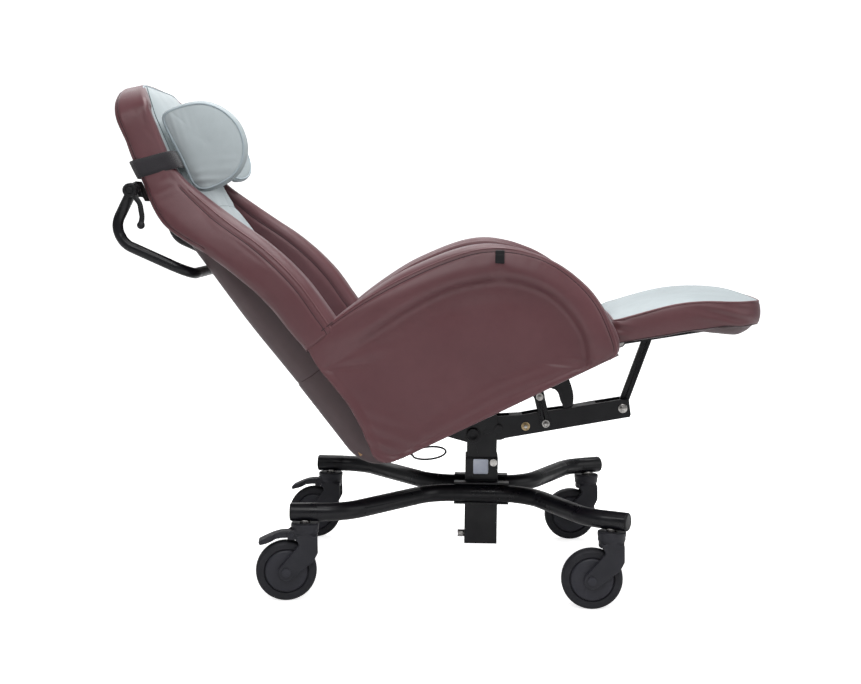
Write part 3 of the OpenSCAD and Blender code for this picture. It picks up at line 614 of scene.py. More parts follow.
# ---------------------------------------------------------------- armrests
ARM_C = np.array([100.0, 190.0])
SIL = [(-203, 352), (-166, 361), (-131, 370), (-98, 378), (-66, 384), (-31, 390), (8, 395), (45, 397), (98, 395), (142, 391), (178, 384), (214, 371), (241, 354), (267, 334), (287, 313), (304, 295), (320, 273), (334, 249), (346, 223), (356, 196), (361, 165), (364, 133), (365, 107), (364, 87), (359, 72), (350, 62), (338, 57), (282, 61), (150, 60), (0, 60), (-120, 60), (-152, 61), (-170, 68), (-180, 82), (-181, 99), (-178, 131), (-177, 169), (-181, 212), (-190, 250), (-200, 291), (-204, 325)]
SEAM = [(-203, 351), (-166, 359), (-131, 366), (-68, 374), (-12, 378), (38, 379), (87, 378), (133, 374), (180, 367), (218, 353), (251, 334), (281, 310), (300, 290), (320, 260), (337, 223), (348, 188), (352, 153), (350, 109), (346, 74), (340, 60), (282, 61), (150, 60), (0, 60), (-120, 60), (-152, 61), (-170, 68), (-180, 82), (-181, 99), (-178, 131), (-177, 169), (-181, 212), (-190, 250), (-200, 291), (-204, 325)]
ROLL = [(-205, 290), (-189, 290), (-165, 291), (-138, 295), (-83, 306), (-30, 315), (14, 321), (60, 323), (100, 322), (150, 313), (196, 297), (229, 277), (259, 249), (280, 218), (293, 184), (299, 150), (301, 128), (297, 100), (285, 72), (280, 58)]


def polar(poly, n=240, closed=True):
    """radius about ARM_C at n even angles"""
    p = resample(smooth_poly(poly, 2, closed), 1500, closed) - ARM_C
    a = np.arctan2(p[:, 1], p[:, 0]) % (2 * math.pi)
    r = np.hypot(p[:, 0], p[:, 1])
    o = np.argsort(a)
    a, r = a[o], r[o]
    th = np.linspace(0, 2 * math.pi, n, endpoint=False)
    return th, np.interp(th, a, r, period=2 * math.pi)


def even_angles(n):
    """angles that give even spacing along the outline"""
    p = resample(SIL, n, True) - ARM_C
    return np.sort(np.arctan2(p[:, 1], p[:, 0]) % (2 * math.pi))


def build_arm():
    n = 230
    th = even_angles(n)
    t0, r_sil = polar(SIL, 1440)
    _, r_seam = polar(SEAM, 1440)
    r_sil = np.interp(th, t0, r_sil, period=2 * math.pi)
    r_seam = np.minimum(np.interp(th, t0, r_seam, period=2 * math.pi), r_sil)
    q = resample(smooth_poly(ROLL, 2), 1200) - ARM_C
    qa = np.arctan2(q[:, 1], q[:, 0])
    qa = np.where(qa < -2.6, qa + 2 * math.pi, qa)
    qr = np.hypot(q[:, 0], q[:, 1])
    o = np.argsort(qa)
    tha = np.where(th > math.pi * 1.3, th - 2 * math.pi, th)
    inside = (tha >= qa[o][0]) & (tha <= qa[o][-1])
    r_roll = np.interp(tha, qa[o], qr[o])
    # how much of a roll there is at this angle
    k = np.clip(np.minimum((tha - qa[o][0]) / 0.12, (qa[o][-1] - tha) / 0.40), 0, 1)
    k = np.where(inside, k, 0)
    k = k * k * (3 - 2 * k)
    r_roll = np.where(inside, np.minimum(r_roll, r_seam - 10), r_seam - 26)
    cs, sn = np.cos(th), np.sin(th)

    def ring(r, y):
        y = np.broadcast_to(y, r.shape)
        return np.column_stack([ARM_C[0] + r * cs, -y, ARM_C[1] + r * sn])

    rings = []
    yi, ys, yo = 247.0, 255.0, 331.0
    flat_y = 322.0
    for s in (0.1, 0.22, 0.35, 0.48, 0.6, 0.71, 0.8, 0.88, 0.94):
        rings.append(ring(r_sil * s, yi))
    rings.append(ring(r_sil * 0.972, yi + 1.0))
    rings.append(ring(r_sil * 0.985 - 4, yi + 4.5))
    # crown between the inner and the outer seam
    drop = np.clip(r_sil - r_seam, 3.0, 30)
    for f in np.linspace(0.06, 0.94, 13):
        a = 2 * f - 1
        bulge = np.sqrt(max(0.0, 1 - abs(a) ** 2.2))
        r = r_sil - drop * (1 - bulge) if a > 0 else r_sil - np.minimum(drop, 14) * (1 - bulge)
        rings.append(ring(r, ys + (yo - ys) * f))
    rings.append(ring(r_seam - 0.5, yo - 1.0))
    # outer face: padded roll, then the recessed panel
    w = r_seam - r_roll
    for f in (0.05, 0.12, 0.22, 0.34, 0.46, 0.58, 0.7, 0.8, 0.88, 0.95, 1.0, 1.06, 1.14, 1.24):
        b = 5.5 * math.sin(math.pi * min(f, 1.0)) ** 0.8 if f < 1 else 0
        g = min(max((f - 0.72) / 0.44, 0), 1)
        g = g * g * (3 - 2 * g)
        y_roll = yo + b - 17.0 * g
        y_plain = yo - 1 - (yo - flat_y) * min(f * 1.3, 1) * 0.8
        rings.append(ring(r_seam - w * f, k * y_roll + (1 - k) * y_plain))
    r_in = r_seam - w * 1.24
    y_in = rings[-1][:, 1] * -1
    for s in (0.95, 0.9, 0.84, 0.78, 0.71, 0.64, 0.56, 0.48, 0.4, 0.32, 0.24, 0.16, 0.09):
        g = min(1.0, (1 - s) / 0.3)
        g = g * g * (3 - 2 * g)
        rings.append(ring(r_in * s, y_in * (1 - g) + (317.5 + 1.5 * (1 - s)) * g))
    v, f, ids = loft(rings)
    # the lower edge of the outer face tucks in towards the frame
    tuck = np.clip((105 - v[:, 2]) / 45, 0, 1) * np.clip((-v[:, 1] - 300) / 20, 0, 1)
    v[:, 1] += 5 * tuck * tuck
    o = mesh_obj("arm_right_cover", seat(v), f, M["burgundy"], "seat")
    outward(o)
    pins = np.zeros(len(v), bool)
    pins[9 * n : 10 * n] = pins[24 * n : 25 * n] = True
    puff(o, 3.5, 0.0035, pins)
    return o, th, r_seam, r_sil


arm, th_arm, r_seam_arm, r_sil_arm = build_arm()


def arm_line(r, y, lo, hi):
    """a line on the arm at radius r(theta), from angle lo to hi (degrees)"""
    a = np.radians(np.linspace(lo, hi, 220))
    rr = np.interp(a, th_arm, r, period=2 * math.pi)
    y = np.broadcast_to(y, a.shape)
    return seat(np.column_stack([ARM_C[0] + rr * np.cos(a), -y, ARM_C[1] + rr * np.sin(a)]))


def arm_details(o, side):
    sg = 1 if side == "right" else -1
    flip = np.array([1, sg, 1])
    seam("arm_%s_outer_seam" % side, o, arm_line(r_seam_arm, 331, -32, 150) * flip, "seat", M["seam"], 0.0010, -0.0002)
    p, nr = snapped(o, arm_line(r_seam_arm + 4.5, 325, -30, 149) * flip, 0.0003)
    tube("arm_%s_outer_welt" % side, p, 0.0016, M["burg_piping_lit"], "seat", False, 8, nr)
    seam("arm_%s_inner_seam" % side, o, arm_line(r_sil_arm - 9, 254, -30, 149) * flip, "seat", M["seam"], 0.0010, -0.0002)


# small folds under the tab and soft waves on the panel
tab = seat(np.array([214.0, -330.0, 318.0]))
dip = seat(np.array([206.0, -331.0, 312.0]))


def arm_waves(co):
    w = fnoise(co, 7.0, 3.1) * 0.0011 + fnoise(co, 17.0, 1.3) * 0.0003
    w -= 0.0055 * near(co, dip, 0.015)
    low = seat(np.array([-150.0, -318.0, 90.0]))
    d = near(co, low, 0.07)
    q = (co - low) @ np.array([0.35, 0, 0.94])
    w += 0.0009 * d * np.sin(q * 230)
    return w


ripple(arm, arm_waves)
arm_l = mirrored(arm, "arm_left_cover", "seat")
arm_details(arm, "right")
arm_details(arm_l, "left")
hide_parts("armrest_right")
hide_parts("armrest_left")


# ---------------------------------------------------------------- wings and back band
REAR = [(340, -206), (362, -210), (392, -220), (439, -231), (484, -245), (520, -263), (564, -286), (606, -311), (641, -337), (674, -357), (699, -367), (740, -372), (797, -368), (837, -366), (886, -360), (930, -359), (960, -356), (985, -351), (1003, -349)]
FRONT = [(340, -126), (371, -129), (398, -134), (425, -138), (458, -144), (500, -157), (543, -174), (584, -194), (622, -217), (671, -243), (709, -264), (746, -283), (775, -293), (802, -296), (840, -295), (880, -291), (920, -287), (950, -284), (975, -287), (1003, -294)]
OUT = [(340, 333), (420, 333), (470, 329), (520, 323), (570, 314), (620, 301), (660, 289), (700, 275), (740, 264), (780, 258), (820, 256), (1003, 256)]
THICK = [(340, 86), (420, 86), (470, 82), (520, 76), (570, 67), (620, 56), (661, 50), (700, 48), (740, 41), (780, 36), (830, 34), (1003, 32)]


def table(tb, w):
    a = np.array(smooth_poly(tb, 1))
    return np.interp(w, a[:, 0], a[:, 1])


def arc(cx, cy, rx, ry, a0, a1, n):
    a = np.radians(np.linspace(a0, a1, n))
    return np.column_stack([cx + rx * np.cos(a), cy + ry * np.sin(a)])


def band_section(ur, uf, t, ro, fo, fi, ri):
    """closed section: first coordinate u, second the depth inwards from the outer face"""
    pts = [arc(ur + ro, ro, ro, ro, 180, 270, 9)]  # rear outer corner
    pts.append(np.column_stack([np.linspace(ur + ro, uf - fo, 15)[1:-1], np.zeros(13)]))
    pts.append(arc(uf - fo, fo, fo, fo, -90, 0, 9))  # front outer corner
    pts.append(np.column_stack([np.full(4, uf), np.linspace(fo, t - fi, 6)[1:-1]]))
    pts.append(arc(uf - fi, t - fi, fi, fi, 0, 90, 9))  # front inner corner
    pts.append(np.column_stack([np.linspace(uf - fi, ur + ri, 15)[1:-1], np.full(13, t)]))
    pts.append(arc(ur + ri, t - ri, ri, ri, 90, 180, 6))
    pts.append(np.column_stack([np.full(4, ur), np.linspace(t - ri, ro, 6)[1:-1]]))
    return np.concatenate(pts)


SEC_OUT, SEC_IN = 9 + 13, 9 + 13 + 9 + 4 + 9  # section points where the two seams run


def build_surround():
    w_side = np.linspace(352, 898, 86)
    a = np.radians(np.linspace(0, 90, 400))
    dome = np.column_stack([-256 * np.cos(a) ** (2 / 2.5), 898 + 105 * np.sin(a) ** (2 / 2.5)])
    dome = resample(dome, 48)
    dn = np.gradient(dome, axis=0)
    dn = np.column_stack([-dn[:, 1], dn[:, 0]]) / np.linalg.norm(dn, axis=1)[:, None]
    st = []  # (y, w, normal_y, normal_w, u_rear, u_front, t, table w)
    for w in w_side:
        st.append((-table(OUT, w), w, -1.0, 0.0, w))
    for (y, w), (ny, nw) in list(zip(dome, dn))[1:]:
        st.append((y, w, ny, nw, w))
    rings = []
    for y, w, ny, nw, wt in st:
        ur, uf, t = table(REAR, wt), table(FRONT, wt), table(THICK, wt)
        rf = min(t / 2 - 1, 8 + 16 * np.clip((800 - wt) / 140, 0, 1))
        ro = 14 + 6 * max(nw, 0) ** 1.5
        ro = min(ro, t - 4)
        sec = band_section(ur, uf, t, ro, rf, rf, 10)
        # the sewn wings are fuller in the middle of the outer face
        mid = (sec[:, 0] - ur) / (uf - ur)
        full = 3.0 * np.clip((760 - wt) / 200, 0, 1)
        sec[:, 1] -= np.where(sec[:, 1] < 1, full * np.sin(np.pi * np.clip(mid, 0, 1)), 0)
        shear = 0.23 * np.clip((440 - wt) / 88, 0, 1)
        ww = w - sec[:, 1] * nw + shear * (sec[:, 0] - uf) - 0.27 * max(nw, 0) ** 1.5 * (sec[:, 0] - ur)
        yy = y - sec[:, 1] * ny
        rings.append(np.column_stack([sec[:, 0], yy, ww]))
    left = []
    for r in reversed(rings[:-1]):
        q = r.copy()
        q[:, 1] *= -1
        left.append(q)
    rings = rings + left
    v, f, _ = loft(rings)
    o = mesh_obj("back_surround", seat(v), f, M["burgundy"], "seat")
    outward(o)
    return o, rings


surround, SRINGS = build_surround()
pins = np.zeros(len(surround.data.vertices), bool)
npt = len(SRINGS[0])
for k in range(len(SRINGS)):
    pins[k * npt + SEC_OUT] = pins[k * npt + SEC_IN] = True
puff(surround, 3.0, 0.0035, pins)
ripple(surround, lambda co: fnoise(co, 8.0, 5.2) * 0.0010 + fnoise(co, 21.0, 2.2) * 0.0003)
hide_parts("wing_right", "wing_left", "back_band")
line_o = np.array([seat(r[SEC_OUT - 1]) for r in SRINGS])
line_i = np.array([seat(r[SEC_IN]) for r in SRINGS])
side_n = 86
for nm, ln in (("outer", line_o), ("inner", line_i)):
    for side, a, b in (("right", 0, 62), ("left", len(SRINGS) - 62, len(SRINGS))):
        seam("wing_%s_%s_seam" % (side, nm), surround, ln[a:b], "seat", M["seam"], 0.0010, -0.0003)
# welt just in front of the outer seam
for side, a, b in (("right", 0, 60), ("left", len(SRINGS) - 60, len(SRINGS))):
    ln = np.array([seat(r[SEC_OUT + 2]) for r in SRINGS[a:b]])
    p, nr = snapped(surround, resample(ln, 150), 0.0002)
    tube("wing_%s_welt" % side, p, 0.0016, M["burg_piping_lit"], "seat", False, 8, nr)
# seam round the rear edge of the band, where the rear panel is sewn in
ln = np.array([seat(r[6]) for r in SRINGS[40:-40]])
seam("band_rear_seam", surround, ln, "seat", M["seam"], 0.0010, -0.0002, n=300)
# seam where the wing meets the armrest
for side, sg in (("right", -1), ("left", 1)):
    ln = seat(np.array([[-204, sg * 331, 350.5], [-185, sg * 334.5, 355], [-160, sg * 335, 361], [-133, sg * 332, 367]]))
    tube("arm_wing_seam_" + side, resample(ln, 30), 0.0011, M["seam"], "seat")


# ---------------------------------------------------------------- shell
PROF = [(-349, 668), (-343, 648), (-332, 588), (-318, 508), (-303, 426), (-284, 345), (-268, 277), (-252, 200), (-240, 140), (-234, 108), (-225, 86), (-211, 69), (-193, 56), (-170, 49.5), (-140, 48)]


def build_shell():
    base = resample(smooth_poly(PROF, 2), 110)
    d = np.gradient(base, axis=0)
    d /= np.linalg.norm(d, axis=1)[:, None]
    nrm = np.column_stack([d[:, 1], -d[:, 0]])  # outward: rear, then down
    nrm *= np.sign((nrm @ np.array([-1.0, -0.6])))[:, None]
    rings = []
    for (u, w), (nu, nw), (tu, tw) in zip(base, nrm, d):
        step = 1.6 * np.clip((279 - w) / 3.0, 0, 1)
        crown = 3.0 * np.clip((w - 60) / 120, 0, 1)
        R, hy = 34.0, 245.6 + step * 0.6
        depth = max(36.0, np.interp(w, [48, 120, 340, 440, 484, 520, 564, 606, 640], [30, 92, 90, 86, 81, 69, 54, 38, 36]))
        half = []
        for f in np.linspace(1, 0, 14)[:-1]:
            half.append((-(R + (depth - R) * f), hy))
        for a in np.radians(np.linspace(0, 90, 10)):
            half.append((-(R - R * math.sin(a)), hy - R + R * math.cos(a)))
        for y in np.linspace(hy - R, 0, 14)[1:]:
            half.append((0.0, y))
        half = np.array(half)
        half[:, 0] += step + crown * np.clip(1 - np.abs(half[:, 1]) / (hy - R), 0, 1) ** 0.6 * (half[:, 0] > -1)
        full = np.vstack([half, (half * np.array([1, -1]))[::-1][1:]])
        rings.append(np.column_stack([u + nu * full[:, 0], full[:, 1], w + nw * full[:, 0]]))
    v, f, _ = loft(rings, None, None, closed=False)
    o = mesh_obj("shell_cover", seat(v), f, M["shell"], "seat")
    outward(o)
    # thickness inwards
    bm = bmesh.new()
    bm.from_mesh(o.data)
    centre = Vector(seat(np.array([60.0, 0, 400.0])))
    up = sum(1 if (centre - f.calc_center_median()).dot(f.normal) < 0 else -1 for f in bm.faces)
    if up < 0:
        bmesh.ops.reverse_faces(bm, faces=bm.faces)
    bm.to_mesh(o.data)
    bm.free()
    m = o.modifiers.new("t", "SOLIDIFY")
    m.thickness, m.offset = 0.003, -1
    finish_soft(o)
    return o


shell = build_shell()
ripple(shell, lambda co: fnoise(co, 6.0, 9.2) * 0.0010)


def plate(name, outline, z0, z1, mat, body, frame_fn, axis="w", bevel=0.0008, hole=None, lift=None):
    """flat plate: outline points in the plane, extruded along one axis, edges rounded"""
    bm = bmesh.new()

    def pt(a, b, c):
        p = (a, b, c) if axis == "w" else (a, c, b)
        return tuple(frame_fn(np.array(p, float)))

    lo = [bm.verts.new(pt(a, b, z0)) for a, b in outline]
    hi = [bm.verts.new(pt(a, b, z1)) for a, b in outline]
    n = len(outline)
    if hole:
        hl = [bm.verts.new(pt(a, b, z0)) for a, b in hole]
        hh = [bm.verts.new(pt(a, b, z1)) for a, b in hole]
        for i in range(n):
            j = (i + 1) % n
            bm.faces.new((lo[i], lo[j], hl[j], hl[i]))
            bm.faces.new((hi[i], hi[j], hh[j], hh[i]))
            bm.faces.new((hl[i], hl[j], hh[j], hh[i]))
    else:
        bm.faces.new(lo)
        bm.faces.new(hi)
    for i in range(n):
        j = (i + 1) % n
        bm.faces.new((lo[i], lo[j], hi[j], hi[i]))
    bmesh.ops.recalc_face_normals(bm, faces=bm.faces)
    me = bpy.data.meshes.new(name)
    bm.to_mesh(me)
    bm.free()
    me.materials.append(mat)
    o = bpy.data.objects.new(name, me)
    scene.collection.objects.link(o)
    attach(o, body)
    if bevel:
        m = o.modifiers.new("b", "BEVEL")
        m.width, m.segments, m.limit_method, m.angle_limit = bevel, 3, "ANGLE", math.radians(35)
        apply_mods(o)
    sharp(o, 35)
    return o


def apply_mods(o):
    dg = bpy.context.evaluated_depsgraph_get()
    me = bpy.data.meshes.new_from_object(o.evaluated_get(dg))
    o.modifiers.clear()
    old = o.data
    o.data = me
    if old.users == 0:
        bpy.data.meshes.remove(old)
    me.name = o.name


def sharp(o, deg):
    """smooth shading with hard edges kept above an angle"""
    me = o.data
    bm = bmesh.new()
    bm.from_mesh(me)
    for f in bm.faces:
        f.smooth = True
    for e in bm.edges:
        e.smooth = len(e.link_faces) == 2 and e.calc_face_angle(0) < math.radians(deg)
    bm.to_mesh(me)
    bm.free()


HW = 246.0
floor_out = [(-142, -HW + 1), (352, -HW + 1), (352, HW - 1), (-142, HW - 1)]
floor_in = [(-118, -52), (252, -52), (252, 52), (-118, 52)]
sf = plate("shell_floor", floor_out, 48.2, 52, M["shell"], "seat", seat, "w", 0.0012, hole=floor_in)
for sg, nm in ((-1, "right"), (1, "left")):
    y0, y1 = sorted((sg * (HW - 0.6), sg * (HW - 4)))
    plate("shell_side_" + nm, [(-150, 49), (350, 49), (350, 87), (-120, 99), (-150, 99)], y0, y1, M["shell"], "seat", seat, "y", 0.001)
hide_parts("back_shell")
# sewn seam across the shell, and the one down each side
pr = resample(smooth_poly(PROF, 2), 400)
i0 = int(np.argmin(abs(pr[:, 1] - 279)))
us, ws = pr[i0]
ln = [[-203, -246.5, 290], [us + 34, -246.5, 283], [us + 12, -240, 281], [us, -214, 280], [us - 3, 0, 280], [us, 214, 280], [us + 12, 240, 281], [us + 34, 246.5, 283], [-203, 246.5, 290]]
seam("shell_cross_seam", shell, seat(np.array(ln)), "seat", M["seam"], 0.0009, -0.0002, n=240)


# ---------------------------------------------------------------- upper rear panel
def build_rear_panel():
    rings = []
    hw, top, r = 232.0, 980.0, 92.0
    out = []
    for y in np.linspace(-hw, hw, 31):
        out.append((y, 664.0))
    for w in np.linspace(664, top - r, 26)[1:]:
        out.append((hw, w))
    for a in np.radians(np.linspace(0, 90, 12))[1:]:
        out.append((hw - r + r * math.cos(a), top - r + r * math.sin(a)))
    for y in np.linspace(hw - r, -hw + r, 20)[1:]:
        out.append((y, top))
    for a in np.radians(np.linspace(90, 180, 12))[1:]:
        out.append((-hw + r + r * math.cos(a), top - r + r * math.sin(a)))
    for w in np.linspace(top - r, 664, 26)[1:-1]:
        out.append((-hw, w))
    out = np.array(out)
    c = np.array([0, 815.0])
    rear = lambda w: np.interp(w, [660, 700, 760, 860, 930, 980], [-350, -358, -361, -358, -350, -340])
    for s, back, in ((0.6, 1), (0.9, 1), (1.0, 1), (1.0, 0.5), (0.985, 0), (0.95, -1), (0.85, -2.5), (0.7, -4), (0.5, -5), (0.3, -5.6), (0.1, -6)):
        p = c + (out - c) * s
        u = rear(p[:, 1]) + (12 if back == 1 else 5 * back if back > 0 else back)
        rings.append(np.column_stack([u, p[:, 0], p[:, 1]]))
    v, f, _ = loft(rings)
    o = mesh_obj("rear_panel", seat(v), f, M["shell"], "seat")
    outward(o)
    finish_soft(o)
    return o


rear_panel = build_rear_panel()


# ---------------------------------------------------------------- pillow builder
def pillow(name, outline, top, bot, side_r, body, mat, conv, inner=None, cap=0.006, pressure=4.0, band=4, pin=True, midx=None, mats=None, inset=0.5):
    """A sewn cushion. outline: closed plan points (a, b); top/bot(a, b, s) give heights, s = 0 centre .. 1 edge.
    The top panel, the side band and the bottom panel are joined at two seams, which are pinned while the cover puffs."""
    out = np.asarray(outline, float)
    c = out.mean(0) if inner is None else np.asarray(inner, float)
    rings, tags = [], []
    ss = [0.06, 0.16, 0.28, 0.40, 0.52, 0.63, 0.73, 0.82, 0.89, 0.945, 0.98]
    for s in ss:
        p = c + (out - c) * s
        rings.append(np.column_stack([p, top(p[:, 0], p[:, 1], s)]))
        tags.append(0)
    n_in = out - c
    n_in = n_in / np.linalg.norm(n_in, axis=1)[:, None]
    zt, zb = top(out[:, 0], out[:, 1], 1.0), bot(out[:, 0], out[:, 1], 1.0)
    if inset > 1:  # faces smaller than the widest line of the side band
        face = out - n_in * inset
        rings = [np.column_stack([c + (face - c) * s, r[:, 2]]) for s, r in zip(ss, rings)]
    rings.append(np.column_stack([out - n_in * inset, zt]))
    tags.append(1)  # upper seam
    for k in range(1, band + 1):
        f = k / (band + 1)
        p = out - n_in * (inset if inset > 1 else 0) * (1 - math.sin(math.pi * f) ** 0.6) + n_in * side_r * math.sin(math.pi * f)
        rings.append(np.column_stack([p, zt + (zb - zt) * f]))
        tags.append(2)
    rings.append(np.column_stack([out - n_in * inset, zb]))
    tags.append(1)
    if inset > 1:
        out_in = out - n_in * inset
    else:
        out_in = out
    for s in reversed(ss):
        p = c + (out_in - c) * s
        rings.append(np.column_stack([p, bot(p[:, 0], p[:, 1], s)]))
        tags.append(3)
    v, f, ids = loft(rings)
    mi = None
    if midx:
        nt = len(ss)
        mi = [midx[0] if i < nt else midx[1] if i < nt + band + 1 else midx[2] for i in ids]
    o = mesh_obj(name, conv(v), f, mats or mat, body, mi)
    outward(o)
    pins = np.zeros(len(v), bool)
    n = len(out)
    if pin:
        for k, t in enumerate(tags):
            if t == 1:
                pins[k * n : (k + 1) * n] = True
    puff(o, pressure, cap, pins)
    up = conv(rings[len(ss)])
    lo = conv(rings[len(ss) + band + 1])
    return o, up, lo


def rrect(x0, x1, y0, y1, r, n=200):
    """rounded rectangle; r = (corner radius at x0, at x1)"""
    r0, r1 = r
    p = []
    for cx, cy, rr, a in ((x1 - r1, y1 - r1, r1, 0), (x0 + r0, y1 - r0, r0, 90), (x0 + r0, y0 + r0, r0, 180), (x1 - r1, y0 + r1, r1, 270)):
        p += [(cx + rr * math.cos(math.radians(a + t)), cy + rr * math.sin(math.radians(a + t))) for t in np.linspace(0, 90, 13)]
    return resample(p, n, True)


# seat cushion
sc_out = rrect(-224, 352, -239, 239, (26, 34), 210)


def sc_top(a, b, s):
    edge = 148 - 10 * np.clip((a - 300) / 52, 0, 1) ** 2
    return edge + 11 * (1 - np.abs(b / 240) ** 3) * (1 - np.clip(abs((a - 60) / 300), 0, 1) ** 3) - 2.5 * s**6


seat_cushion, up, lo = pillow("seat_cushion_cover", sc_out, sc_top, lambda a, b, s: np.full(len(a), 101.5), 3.0, "seat", M["grey"], lambda v: seat(v), cap=0.009)
seam("seat_cushion_piping", seat_cushion, up, "seat", M["grey_piping"], 0.0024, 0.0006, True, 300, 0.008, 0.001)
for a in (-70, 110):  # two sewn channels across the seat
    ln = np.column_stack([np.full(60, a), np.linspace(-222, 222, 60), np.full(60, 158)])
    seam("seat_channel_%d" % (a > 0), seat_cushion, seat(ln), "seat", M["grey_seam"], 0.0008, -0.0004, n=140, width=0.012, depth=0.0035)
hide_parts("seat_cushion")

# back cushion: outline in (y, w), thickness along u
FRONT_B = [(155, -152), (182, -156), (250, -176), (360, -206), (500, -243), (609, -268), (650, -276), (710, -287), (730, -289), (790, -289), (880, -287), (940, -282), (985, -288)]
bc = []
bc += [(y, 162.0) for y in np.linspace(-228, 228, 40)]
bc += [(228 - 7 * min(1, max(0, (w - 480) / 180)), w) for w in np.linspace(162, 889, 62)[1:]]
bc += [(132 + 89 * math.cos(a), 889 + 89 * math.sin(a)) for a in np.radians(np.linspace(0, 90, 13))[1:]]
bc += [(y, 978.0) for y in np.linspace(132, -132, 24)[1:]]
bc += [(-132 - 89 * math.sin(a), 889 + 89 * math.cos(a)) for a in np.radians(np.linspace(0, 90, 13))[1:]]
bc += [(-228 + 7 * min(1, max(0, (w - 480) / 180)), w) for w in np.linspace(889, 162, 62)[1:-1]]
bc = resample(smooth_poly(bc, 1, True), 300, True)
BACK_REAR = [(155, -231), (276, -258), (426, -292), (640, -338), (668, -310), (985, -310)]


def bc_top(a, b, s):
    # more crown at the lumbar, flat behind the head pad
    base = table(FRONT_B, b)
    ed = np.clip((np.abs(a) / 228), 0, 1)
    crown = 10 * np.exp(-(((b - 380) / 190) ** 2)) * (1 - ed**2.5)
    return base - 7 * ed**5 + crown - 4 * s**8


def bc_bot(a, b, s):
    return np.maximum(table(BACK_REAR, b), -340) + 0


back_cushion, up, lo = pillow("back_cushion_cover", bc, bc_top, bc_bot, 1.5, "seat", M["grey"], lambda v: seat(np.column_stack([v[:, 2], v[:, 0], v[:, 1]])), inner=(0, 560), cap=0.007)
seam("back_cushion_piping", back_cushion, up, "seat", M["grey_piping"], 0.0022, 0.0004, True, 420, 0.008, 0.001)
for w in (330, 520, 690):
    ln = np.column_stack([np.full(60, table(FRONT_B, w) + 8), np.linspace(-206, 206, 60), np.full(60, float(w))])
    seam("back_channel_%d" % w, back_cushion, seat(ln), "seat", M["grey_seam"], 0.0008, -0.0004, n=140, width=0.014, depth=0.004)
# painted seam shadow: a dark cord between the side strip and the front panel near the head
for side, sg in (("right", -1), ("left", 1)):
    ln = seat(np.array([[-276, sg * 219, 960], [-286, sg * 221, 900], [-289, sg * 221.5, 845], [-292, sg * 222, 800], [-291, sg * 222, 745]]))
    tube("back_side_seam_" + side, resample(ln, 60), 0.0009, M["grey_seam"], "seat")
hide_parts("back_cushion")

# leg rest: plan outline in column-frame (x, y)
W2 = 215.0
leg_out = rrect(263, 577, -W2 + 1.5, W2 - 1.5, (18, 92), 240)
EDGE_T = [(255, 577), (262, 581), (326, 600), (360, 610), (397, 619), (439, 624), (482, 624.5), (551, 621), (581, 617)]
EDGE_B = [(255, 531), (281, 534), (356, 548), (413, 560), (470, 568), (541, 573), (581, 572)]


def leg_top(a, b, s):
    crown = 13 * (1 - np.clip(np.abs(b) / W2, 0, 1) ** 2.4) * np.clip((612 - a) / 60, 0, 1) * np.clip((a - 240) / 40, 0, 1)
    return table(EDGE_T, a) + crown - 2.0 * s**8


def leg_bot(a, b, s):
    return table(EDGE_B, a) - 0 * b


leg, lup, llo = pillow("leg_cushion_cover", leg_out, leg_top, leg_bot, 4.5, "leg_rest", None, lambda v: world(v), inner=(400, 0), cap=0.005, band=6, mats=[M["grey"], M["burgundy"], M["under"]], midx=(0, 1, 2))
seam("leg_upper_piping", leg, lup, "leg_rest", M["burg_piping_lit"], 0.0022, 0.0005, True, 360, 0.006, 0.0008)


def leg_folds(co):
    # slack pleats on the side band towards the foot end, and by the hinge
    x, z = co[:, 0] - CX, co[:, 2]
    side = np.clip((np.abs(co[:, 1]) - 0.150) / 0.05, 0, 1)
    low = np.clip((0.620 - z) / 0.012, 0, 1)
    k = side * low
    foot = np.exp(-(((x - 0.50) / 0.055) ** 2)) + 0.7 * np.exp(-(((x - 0.275) / 0.02) ** 2))
    wob = fnoise(co, 9.0, 7.7)
    out = 0.0024 * k * foot * np.sin((z * 260 + x * 55 + wob * 2.6))
    out += 0.0012 * fnoise(co, 12.0, 4.4) * k
    return out


ripple(leg, leg_folds)
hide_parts("legrest_cushion", "legrest_board")


# bulged underside cover of the leg rest
def build_under():
    out = rrect(300, 570, -W2 + 9, W2 - 9, (20, 84), 200)
    c = np.array([470.0, 0])
    rings = []
    bt = lambda a: table(EDGE_B, a)
    sag = lambda a: np.interp(a, [385, 405, 470, 528, 556, 572], [0, 0, -13, -22, -15, 0])
    for s in (0.5, 0.9, 1.0):
        p = c + (out - c) * s
        rings.append(np.column_stack([p, bt(p[:, 0]) + 2]))
    for s in (0.995, 0.985, 0.96, 0.92, 0.86, 0.78, 0.68, 0.56, 0.42, 0.26, 0.1):
        p = c + (out - c) * s
        k = np.clip((1 - s) / 0.14, 0, 1)
        rings.append(np.column_stack([p, bt(p[:, 0]) - 1.0 * min(1, (1 - s) * 90) + sag(p[:, 0]) * k * k * (3 - 2 * k)]))
    v, f, _ = loft(rings)
    o = mesh_obj("leg_under_cover", world(v), f, M["under"], "leg_rest")
    outward(o)
    finish_soft(o, 2)
    ripple(o, lambda co: fnoise(co, 14.0, 3.3) * 0.0016)
    return o


under = build_under()
seam("leg_lower_seam", leg, llo, "leg_rest", M["seam"], 0.0013, 0.0, True, 320, 0.006, 0.0012)

# ---------------------------------------------------------------- headrest
hp = rrect(753, 887, -173, 173, (34, 34), 190)


def hp_top(a, b, s):
    return -251 + 8 * (1 - (np.abs(b) / 173) ** 2.2) * (1 - ((a - 820) / 72) ** 2) - 9 * np.clip((np.abs(b) - 140) / 33, 0, 1) ** 2


